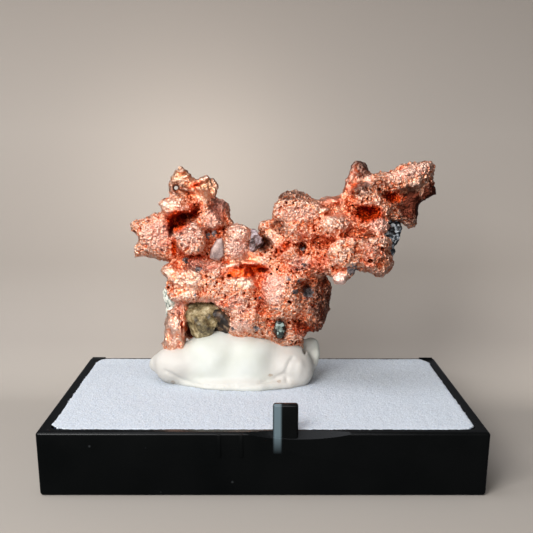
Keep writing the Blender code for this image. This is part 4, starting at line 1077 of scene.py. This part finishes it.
def native_copper():
    """Native copper, cleaned bright: pale grains, with painted shade, red-orange to dark, in the
    gaps between them and in the pits; painted shade darkens the shut-in folds, which are redder
    with a film of oxide and with painted light bounced between copper walls."""
    material, add, place = start_material("native copper")
    shut, rough_skin, pitted, speck, *films = [
        add("Attribute", out="Fac", attribute_name=name)
        for name in ("shut_in", "rough_skin", "pitted", "speck",
                     "painted_highlight", "golden", "tarnish_and_shade", "oxide_and_bounce")]
    mottle, grit, patches, ragged = [
        add("TexNoise", {"Vector": place, "Scale": per_metre(size), "Detail": detail,
                         "Roughness": roughness})
        for size, detail, roughness in ((MOTTLE, 4, 0.65), (GRIT, 3, 0.5), (PATCHES, 3, 0.5),
                                        (SPECK_EDGE, 4, 0.5))]
    stray = add("TexNoise", {"Vector": place, "Scale": per_metre(STRAY), "Detail": 2.0}, "Color")
    shift = add("VectorMath", {0: stray, 1: (0.5, 0.5, 0.5)}, operation='SUBTRACT')
    bent = add("VectorMath", {0: shift, 1: (STRAY_REACH * MM,) * 3, 2: place},
               operation='MULTIPLY_ADD')
    grain = add("TexVoronoi", {"Vector": bent, "Scale": per_metre(GRAIN)})
    dots = add("TexVoronoi", {"Vector": bent, "Scale": per_metre(DOTS)}, None)
    dot = add("MapRange", {"Value": dots["Distance"], "From Min": 0.34, "From Max": 0.16})
    some = add("SeparateColor", {"Color": dots["Color"]})
    chosen = add("Math", {0: some, 1: 1.0 - DOT_SHARE}, operation='GREATER_THAN')
    dotted = add("Math", {0: dot, 1: chosen}, operation='MULTIPLY')
    pit = add("Math", {0: pitted, 1: dotted}, operation='MAXIMUM')
    pit = add("Math", {0: pit, 1: rough_skin}, operation='MULTIPLY')
    gap = add("Math", {0: grain, 1: 0.40}, operation='SUBTRACT')
    gap = add("Math", {0: gap, 1: rough_skin}, operation='MULTIPLY')
    # Painted shade: the colour darkens with how shut in a place is, with the gaps between grains
    # and with the pits, and wanders with a random mottle.
    depth = -0.25
    for part, weight in ((shut, 0.78), (mottle, 0.5), (gap, 0.75), (pit, 0.7)):
        depth = add("Math", {0: part, 1: weight, 2: depth}, operation='MULTIPLY_ADD')
    colour = add("ValToRGB", {"Fac": depth}, stops=COPPER_SHADES)
    oxide_bounce = add("ValToRGB", {"Fac": depth}, stops=OXIDE_BOUNCE_SHADES)
    coats = (hexa(HIGHLIGHT_PINK), hexa(GOLD_TINT), hexa(SHADE_BROWN), oxide_bounce)
    # Films over the colour: painted highlights, a golden tint, tarnish with painted shade, and
    # oxide with painted bounced light.
    for cover, tint in zip(films, coats):
        edge = add("Math", {0: patches, 1: cover}, operation='ADD')
        laid = add("MapRange", {"Value": edge, "From Min": 0.62, "From Max": 1.3})
        colour = add("Mix", {"Factor": laid, 6: colour, 7: tint}, 2, data_type='RGBA')
    edge = add("Math", {0: ragged, 1: 2.4, 2: speck}, operation='MULTIPLY_ADD')
    mineral = add("MapRange", {"Value": edge, "From Min": 1.70, "From Max": 1.85})
    tint = add("ValToRGB", {"Fac": mottle}, stops=MINERAL_SHADES)
    sunk = add("Math", {0: pit, 1: 0.8, 2: gap}, operation='MULTIPLY_ADD')
    height = add("Math", {0: sunk, 1: -1.0}, operation='MULTIPLY')
    bump = add("Bump", {"Height": height, "Strength": 0.9, "Distance": GRAIN_BUMP * MM})
    smooth, dull = COPPER_POLISH
    return coat(material, {
        "Base Color": add("Mix", {"Factor": mineral, 6: colour, 7: tint}, 2, data_type='RGBA'),
        "Metallic": add("Math", {0: 1.0, 1: mineral}, operation='SUBTRACT'),
        "Roughness": add("MapRange", {"Value": grit, "From Min": 0.3, "From Max": 0.7,
                                      "To Min": smooth, "To Max": dull}),
        "Normal": add("Bump", {"Height": grit, "Strength": 0.8, "Distance": GRIT_BUMP * MM,
                               "Normal": bump})})


def stone_material(name, grain, roughness, seeing_through, crystals, shades):
    """A stone of angular grains of the given size, whose colours wander from grain to grain."""
    material, add, place = start_material(name)
    body = add("TexNoise", {"Vector": place, "Scale": per_metre(grain * 1.6), "Detail": 5.0,
                            "Roughness": 0.7})
    grains = add("TexVoronoi", {"Vector": place, "Scale": per_metre(grain)}, "Color")
    shade = add("Math", {0: add("SeparateColor", {"Color": grains}), 1: 0.5},
                operation='SUBTRACT')
    mixed = add("Math", {0: shade, 1: crystals, 2: body}, operation='MULTIPLY_ADD')
    return coat(material, {
        "Roughness": roughness, "Transmission Weight": seeing_through,
        "Base Color": add("ValToRGB", {"Fac": mixed}, stops=shades),
        "Normal": add("Bump", {"Height": mixed, "Strength": 0.4, "Distance": STONE_BUMP * MM})})


def white_putty():
    """Kneaded white putty: matt with a faint waxy sheen, creamier in the creases."""
    material, add, place = start_material("white mounting putty")
    cloud, ragged, smear = [add("TexNoise", {"Vector": place, "Scale": per_metre(size),
                                             "Detail": 3.0})
                             for size in (PUTTY_CLOUDS, STAIN_EDGE, PUTTY_SMEARS)]
    greyed_patch, stain = [add("Attribute", out="Fac", attribute_name=name)
                      for name in ("greyed_patch", "stain")]
    colour = add("ValToRGB", {"Fac": cloud}, stops=PUTTY_SHADES)
    colour = add("Mix", {"Factor": greyed_patch, 6: colour, 7: hexa(PUTTY_GREYED)}, 2,
                 data_type='RGBA')
    edge = add("Math", {0: ragged, 1: 1.6, 2: stain}, operation='MULTIPLY_ADD')
    laid = add("MapRange", {"Value": edge, "From Min": 1.3, "From Max": 1.9, "To Max": 0.6})
    return coat(material, {
        "Roughness": 0.62, "Subsurface Weight": 0.15, "Subsurface Radius": (0.9, 0.8, 0.6),
        "Subsurface Scale": PUTTY_GLOW * MM,
        "Base Color": add("Mix", {"Factor": laid, 6: colour, 7: hexa(PUTTY_STAIN)}, 2,
                          data_type='RGBA'),
        "Normal": add("Bump", {"Height": smear, "Strength": 0.25,
                               "Distance": PUTTY_BUMP * MM})})


def white_foam():
    """Cut white foam: open cells that glint, faintly blue, with no sheen of its own."""
    material, add, place = start_material("cut white foam")
    cells = add("TexVoronoi", {"Vector": place, "Scale": per_metre(FOAM_CELL)})
    return coat(material, {
        "Roughness": 0.85, "Subsurface Weight": 0.2, "Subsurface Radius": (0.6, 0.7, 0.9),
        "Subsurface Scale": FOAM_GLOW * MM,
        "Base Color": add("ValToRGB", {"Fac": cells}, stops=FOAM_SHADES),
        "Normal": add("Bump", {"Height": cells, "Strength": 0.25,
                               "Distance": FOAM_BUMP * MM})})


def black_polystyrene():
    """Moulded black polystyrene: near-black and glossy, with a little fine dust, and a pale grey
    strip on the latch post's left edge that is a painted highlight, standing in for its
    reflection."""
    material, add, place = start_material("black polystyrene")
    handling = add("TexNoise", {"Vector": place, "Scale": per_metre(PLASTIC_HANDLING),
                                "Detail": 3.0})
    motes = add("TexVoronoi", {"Vector": place, "Scale": per_metre(DUST_SPACING)}, None)
    mote = add("MapRange", {"Value": motes["Distance"], "From Min": 0.11, "From Max": 0.05})
    pick = add("SeparateColor", {"Color": motes["Color"]})
    chosen = add("Math", {0: pick, 1: 1.0 - DUST_SHARE}, operation='GREATER_THAN')
    dust = add("Math", {0: mote, 1: chosen}, operation='MULTIPLY')
    x, y, z = add("SeparateXYZ", {"Vector": place}, None)
    # Painted highlight: a pale strip down the front of the post's left edge, fading out towards
    # its foot.
    off = add("Math", {0: x, 1: HIGHLIGHT_CENTRE_X * MM}, operation='SUBTRACT')
    off = add("Math", {0: off}, operation='ABSOLUTE')
    across = add("MapRange", {"Value": off, "From Min": HIGHLIGHT_HALF_WIDTH * MM,
                              "From Max": HIGHLIGHT_HALF_WIDTH * 0.55 * MM})
    up = add("MapRange", {"Value": z, "From Min": HIGHLIGHT_FOOT * MM,
                          "From Max": (HIGHLIGHT_FOOT + HIGHLIGHT_FADE) * MM})
    front = add("Math", {0: y, 1: -(TRAY_DEPTH / 2.0 - 0.6) * MM}, operation='LESS_THAN')
    painted_highlight = add("Math", {0: across, 1: up}, operation='MULTIPLY')
    painted_highlight = add("Math", {0: painted_highlight, 1: front}, operation='MULTIPLY')
    colour = add("ValToRGB", {"Fac": handling}, stops=PLASTIC_SHADES)
    for cover, tint in ((dust, PLASTIC_DUST), (painted_highlight, PLASTIC_HIGHLIGHT)):
        colour = add("Mix", {"Factor": cover, 6: colour, 7: hexa(tint)}, 2, data_type='RGBA')
    return coat(material, {
        "Base Color": colour, "Specular IOR Level": 0.13,
        "Roughness": add("MapRange", {"Value": handling, "To Min": 0.16, "To Max": 0.34})})


# ---- Putty, foam and tray -----------------------------------------------------------------
def mounting_putty():
    """The putty mound, smooth from kneading, with a squeezed edge, pressed on the foam."""
    mound = built("putty", (add_lump, PUTTY_BODY))
    fuse(mound, PUTTY_VOXEL, 70)
    join(mound, built("pressed", (add_lump, PUTTY_PRESSED)))
    bm = bmesh.new()
    for start, end in zip(PUTTY_ROLL, PUTTY_ROLL[1:]):
        steps = int(hypot(end[0] - start[0], end[1] - start[1]) / PUTTY_ROLL_STEP)
        for i in range(steps):
            x, y = Vector(start).lerp(Vector(end), i / steps)
            swelling = 1.0 + 0.25 * noise.noise(Vector((x / 3.0, y / 3.0, 1.0)))
            add_ball(bm, (x, y, PUTTY_ROLL_HEIGHT), (PUTTY_ROLL_RADIUS * swelling,) * 3)
    join(mound, new_object("squeezed edge", bm))
    fuse(mound, PUTTY_VOXEL, 4)
    tree = face_finder(mound)
    bm = bmesh.new()
    for line in PUTTY_CREASES:
        for start, end in zip(line, line[1:]):
            for i in range(CREASE_STEPS):
                x, z = Vector(start).lerp(Vector(end), i / CREASE_STEPS)
                add_ball(bm, on_face(tree, x, z, CREASE_PUSH), (CREASE_RADIUS,) * 3)
    dents = new_object("creases", bm)
    join(dents, built("dents", (add_lump, PUTTY_DENTS)))
    fuse(dents, PUTTY_VOXEL * 0.5)
    combine(mound, dents, 'DIFFERENCE', 'MANIFOLD')
    fuse(mound, PUTTY_VOXEL * 0.7, 3)
    roughen(mound, PUTTY_BUMPS)
    bm = bmesh.new()
    add_block(bm, (-TRAY_WIDTH, -TRAY_DEPTH, 0.0), (TRAY_WIDTH, TRAY_DEPTH, FOAM_TOP))
    combine(mound, new_object("underside", bm), 'DIFFERENCE')
    keep_largest(mound)
    points, normals = points_of(mound.data)
    places = plane_places(points)
    store(mound.data, "stain", film_cover(places, PUTTY_STAINS) * (normals[:, 1] < 0.0))
    store(mound.data, "greyed_patch", film_cover(places, PUTTY_GREYED_PATCHES))
    mound.data.shade_smooth()
    dress(mound, "putty_mound", white_putty(), "mounting_putty")


def foam_top(u, v, half_x, half_y):
    """A place of the foam's cut top, from -1 to 1 across and along it, with its torn edge."""
    x = u * half_x
    y = v * half_y
    over_x = max(0.0, abs(x) - (half_x - FOAM_ROUND))
    over_y = max(0.0, abs(y) - (half_y - FOAM_ROUND))
    reach = hypot(over_x, over_y)
    if over_x > 0.0 and over_y > 0.0 and reach > FOAM_ROUND:
        x -= copysign(over_x * (1.0 - FOAM_ROUND / reach), x)
        y -= copysign(over_y * (1.0 - FOAM_ROUND / reach), y)
    rim = max(0.0, max(abs(u), abs(v)) - FOAM_RIM) / (1.0 - FOAM_RIM)
    x += rim * (FOAM_TEAR * noise.noise(Vector((x / 0.7, y / 0.7, 3.0)))
                + 0.4 * noise.noise(Vector((x / 2.3, y / 2.3, 3.0))) - copysign(0.1, x))
    y += rim * FOAM_TEAR * noise.noise(Vector((x / 0.9, y / 0.9, 8.0)))
    back = max(0.0, y / half_y - 0.8) * 5.0
    z = FOAM_TOP + FOAM_LIFT + 0.2 * back - 0.25 * rim ** 3
    for size, height, layer in FOAM_RELIEF:
        z += height * noise.noise(Vector((x / size, y / size, layer)))
    return Vector((x, y, z)) * MM


def foam_pad():
    """The foam pad: a cut, open-celled top with a torn edge, and plain sides below."""
    half_x = TRAY_WIDTH / 2.0 - TRAY_WALL + FOAM_OVER
    half_y = TRAY_DEPTH / 2.0 - TRAY_WALL + FOAM_OVER
    widest = ((half_x - FOAM_OVER - FIT_GAP * 0.5) * MM, (half_y - FOAM_OVER - FIT_GAP * 0.5) * MM)
    bm = bmesh.new()
    bmesh.ops.create_grid(bm, x_segments=int(2.0 * half_x / FOAM_PITCH),
                          y_segments=int(2.0 * half_y / FOAM_PITCH), size=1.0)
    for vert in bm.verts:
        vert.co = foam_top(vert.co.x, vert.co.y, half_x, half_y)
    edges = [edge for edge in bm.edges if edge.is_boundary]
    for drop, draw_in in ((FOAM_TOP - 0.1, 1.0), (TRAY_FLOOR + FIT_GAP, 0.985)):
        side = bmesh.ops.extrude_edge_only(bm, edges=edges)["geom"]
        for vert in [part for part in side if isinstance(part, bmesh.types.BMVert)]:
            for axis in (0, 1):
                inside = min(abs(vert.co[axis]), widest[axis])
                vert.co[axis] = copysign(inside * draw_in, vert.co[axis])
            vert.co.z = drop * MM
        edges = [part for part in side
                 if isinstance(part, bmesh.types.BMEdge) and part.is_boundary]
    bmesh.ops.contextual_create(bm, geom=edges)
    pad = new_object("foam", bm)
    pad.data.shade_smooth()
    dress(pad, "cut_foam", white_foam(), "foam_pad")


def scoop():
    """The cutter for the thumb dip: a wedge with a round underside that climbs inwards."""
    radius = (SCOOP_HALF_WIDTH ** 2 + SCOOP_DROP ** 2) / (2.0 * SCOOP_DROP)
    rings = []
    for reach in (-SCOOP_BEFORE, SCOOP_BEHIND):
        y = reach - TRAY_DEPTH / 2.0
        ring = []
        for i in range(SCOOP_STEPS + 1):
            x = SCOOP_HALF_WIDTH * (2.0 * i / SCOOP_STEPS - 1.0)
            dip = SCOOP_DROP - radius + sqrt(radius ** 2 - x ** 2)
            ring.append((SCOOP_CENTRE_X + x, y, TRAY_HEIGHT - dip + reach * SCOOP_SLOPE))
        over = [(x, y, TRAY_HEIGHT * 2.0) for x, y, z in (ring[-1], ring[0])]
        rings.append(ring + over)
    return built("scoop", (add_loft, [rings]))


def rounded_block(name, middle, width, low, high, front, thick, edge_round, steps):
    """A block on the front wall, with rounded edges."""
    bm = bmesh.new()
    add_block(bm, (middle - width / 2.0, front, low), (middle + width / 2.0, front + thick, high))
    block = new_object(name, bm)
    shape(block, 'BEVEL', width=edge_round * MM, segments=steps)
    return block


def hinge_nub(side):
    """A short round nub lying in a back corner of the rim, where the lid would turn."""
    centre = Vector((side * (TRAY_WIDTH / 2.0 - HINGE_NUB_SIDE_INSET - HINGE_NUB_LENGTH / 2.0),
                     TRAY_DEPTH / 2.0 - HINGE_NUB_BACK_INSET - HINGE_NUB_RADIUS,
                     TRAY_HEIGHT + HINGE_NUB_RISE - HINGE_NUB_RADIUS))
    lying = Matrix.Translation(centre * MM) @ Matrix.Rotation(radians(90.0), 4, 'Y')
    bm = bmesh.new()
    bmesh.ops.create_cone(bm, cap_ends=True, segments=32, radius1=HINGE_NUB_RADIUS * MM,
                          radius2=HINGE_NUB_RADIUS * MM, depth=HINGE_NUB_LENGTH * MM,
                          matrix=lying)
    return new_object("hinge nub", bm)


def tray():
    """Black box base, one moulding: drafted tray, thumb dip, latch post, ribs and hinge nubs."""
    blocks = []
    for name, inset, bottom, top, edge_round, steps in (
            ("tray", 0.0, 0.0, TRAY_HEIGHT, TRAY_EDGE_ROUND, 5),
            ("well", TRAY_WALL, TRAY_FLOOR, TRAY_HEIGHT * 2.0, WELL_CORNER_ROUND, 6)):
        bm = bmesh.new()
        add_drafted_block(bm, inset, bottom, top)
        blocks.append(new_object(name, bm))
        shape(blocks[-1], 'BEVEL', width=edge_round * MM, segments=steps)
    body, well = blocks
    combine(body, well, 'DIFFERENCE')
    combine(body, scoop(), 'DIFFERENCE')
    front = -TRAY_DEPTH / 2.0
    rib_front = front - RIB_PROUD + TRAY_DRAFT * (1.0 - RIB_TOP / TRAY_HEIGHT)
    parts = [rounded_block("latch post", LATCH_CENTRE_X, LATCH_WIDTH, LATCH_FOOT, LATCH_TOP,
                           front + LATCH_SETBACK, LATCH_THICK, LATCH_EDGE_ROUND, 5)]
    parts += [rounded_block("rib", x, RIB_WIDTH, RIB_FOOT, RIB_TOP, rib_front, RIB_THICK,
                            RIB_EDGE_ROUND, 2) for x in RIB_PLACES]
    for part in parts + [hinge_nub(-1.0), hinge_nub(1.0)]:
        combine(body, part, 'UNION')
    body.data.shade_smooth()
    body.data.set_sharp_from_angle(angle=radians(TRAY_SHARP_ANGLE))
    dress(body, "box_base", black_polystyrene(), "tray")


# ---- Stage, lights and camera -------------------------------------------------------------
def matt_paper():
    """Matt grey paper with a faint cloud in it, a little lighter on the floor, and with painted
    shade that grades it darker towards the top.
    """
    material, add, place = start_material("matt paper")
    fibre = add("TexNoise", {"Vector": place, "Scale": per_metre(60.0), "Detail": 2.0})
    height = add("SeparateXYZ", {"Vector": place}, "Z")
    shade = add("MapRange", {"Value": height, "From Max": PAPER_SHADED_AT * MM})
    colour = add("ValToRGB", {"Fac": shade}, stops=PAPER_SHADES)
    faint = add("MapRange", {"Value": fibre, "To Min": 0.97, "To Max": 1.03})
    paper = add("VectorMath", {0: colour, "Scale": faint}, operation='SCALE')
    return coat(material, {"Roughness": 0.9, "Base Color": paper})


def backdrop():
    """A seamless pale sweep: floor, bend and wall."""
    turns = [radians(90.0 * i / SWEEP_STEPS) for i in range(SWEEP_STEPS + 1)]
    profile = [(SWEEP_FRONT, 0.0)]
    profile += [(SWEEP_BACK + SWEEP_BEND * sin(a), SWEEP_BEND * (1.0 - cos(a))) for a in turns]
    profile += [(SWEEP_BACK + SWEEP_BEND, SWEEP_TOP)]
    bm = bmesh.new()
    left, right = [[bm.verts.new(Vector((side * SWEEP_WIDTH / 2.0, y, z)) * MM)
                    for y, z in profile] for side in (-1.0, 1.0)]
    for i in range(len(profile) - 1):
        bm.faces.new((left[i], right[i], right[i + 1], left[i + 1]))
    sweep = new_object("backdrop", bm, recalculate=False)
    sweep.data.shade_smooth()
    sweep.data.materials.append(matt_paper())
    sweep.visible_glossy = False


def lights():
    """Plain soft studio light from the upper left, with a faint fill from the room."""
    for name, (at, aim, width, height, power, colour) in LIGHTS.items():
        light = bpy.data.lights.new(name, 'AREA')
        light.shape = 'RECTANGLE'
        light.size = width * MM
        light.size_y = height * MM
        light.energy = power
        light.color = hexa(colour)[:3]
        lamp = link(name, light)
        lamp.location = Vector(at) * MM
        lamp.rotation_euler = (Vector(aim) - Vector(at)).to_track_quat('-Z', 'Y').to_euler()
        lamp.visible_camera = False
    world = bpy.data.worlds.new("soft room")
    world.use_nodes = True
    give(world.node_tree, world.node_tree.nodes["Background"],
         {"Color": hexa(ROOM_COLOUR), "Strength": ROOM_STRENGTH})
    bpy.context.scene.world = world


def camera():
    """The camera, level but for a small yaw and roll."""
    data = bpy.data.cameras.new("camera")
    data.sensor_width = SENSOR_WIDTH
    data.lens = SENSOR_WIDTH * FOCAL_PIXELS / VIEW_PIXELS
    data.clip_start = 1.0 * MM
    data.clip_end = 10.0
    view = link("camera", data)
    view.location = Vector(CAMERA_AT) * MM
    turns = ((YAW, 'Z'), (90.0 - PITCH_DOWN, 'X'), (-ROLL, 'Z'))
    yaw, pitch, roll = [Matrix.Rotation(radians(angle), 3, axis) for angle, axis in turns]
    view.rotation_euler = (yaw @ pitch @ roll).to_euler()
    bpy.context.scene.camera = view
    bpy.context.scene.view_settings.view_transform = 'Standard'


copper = native_copper()
camera()
backdrop()
lights()
tray()
foam_pad()
mounting_putty()
stones()
copper_nugget(copper, stone_pockets())
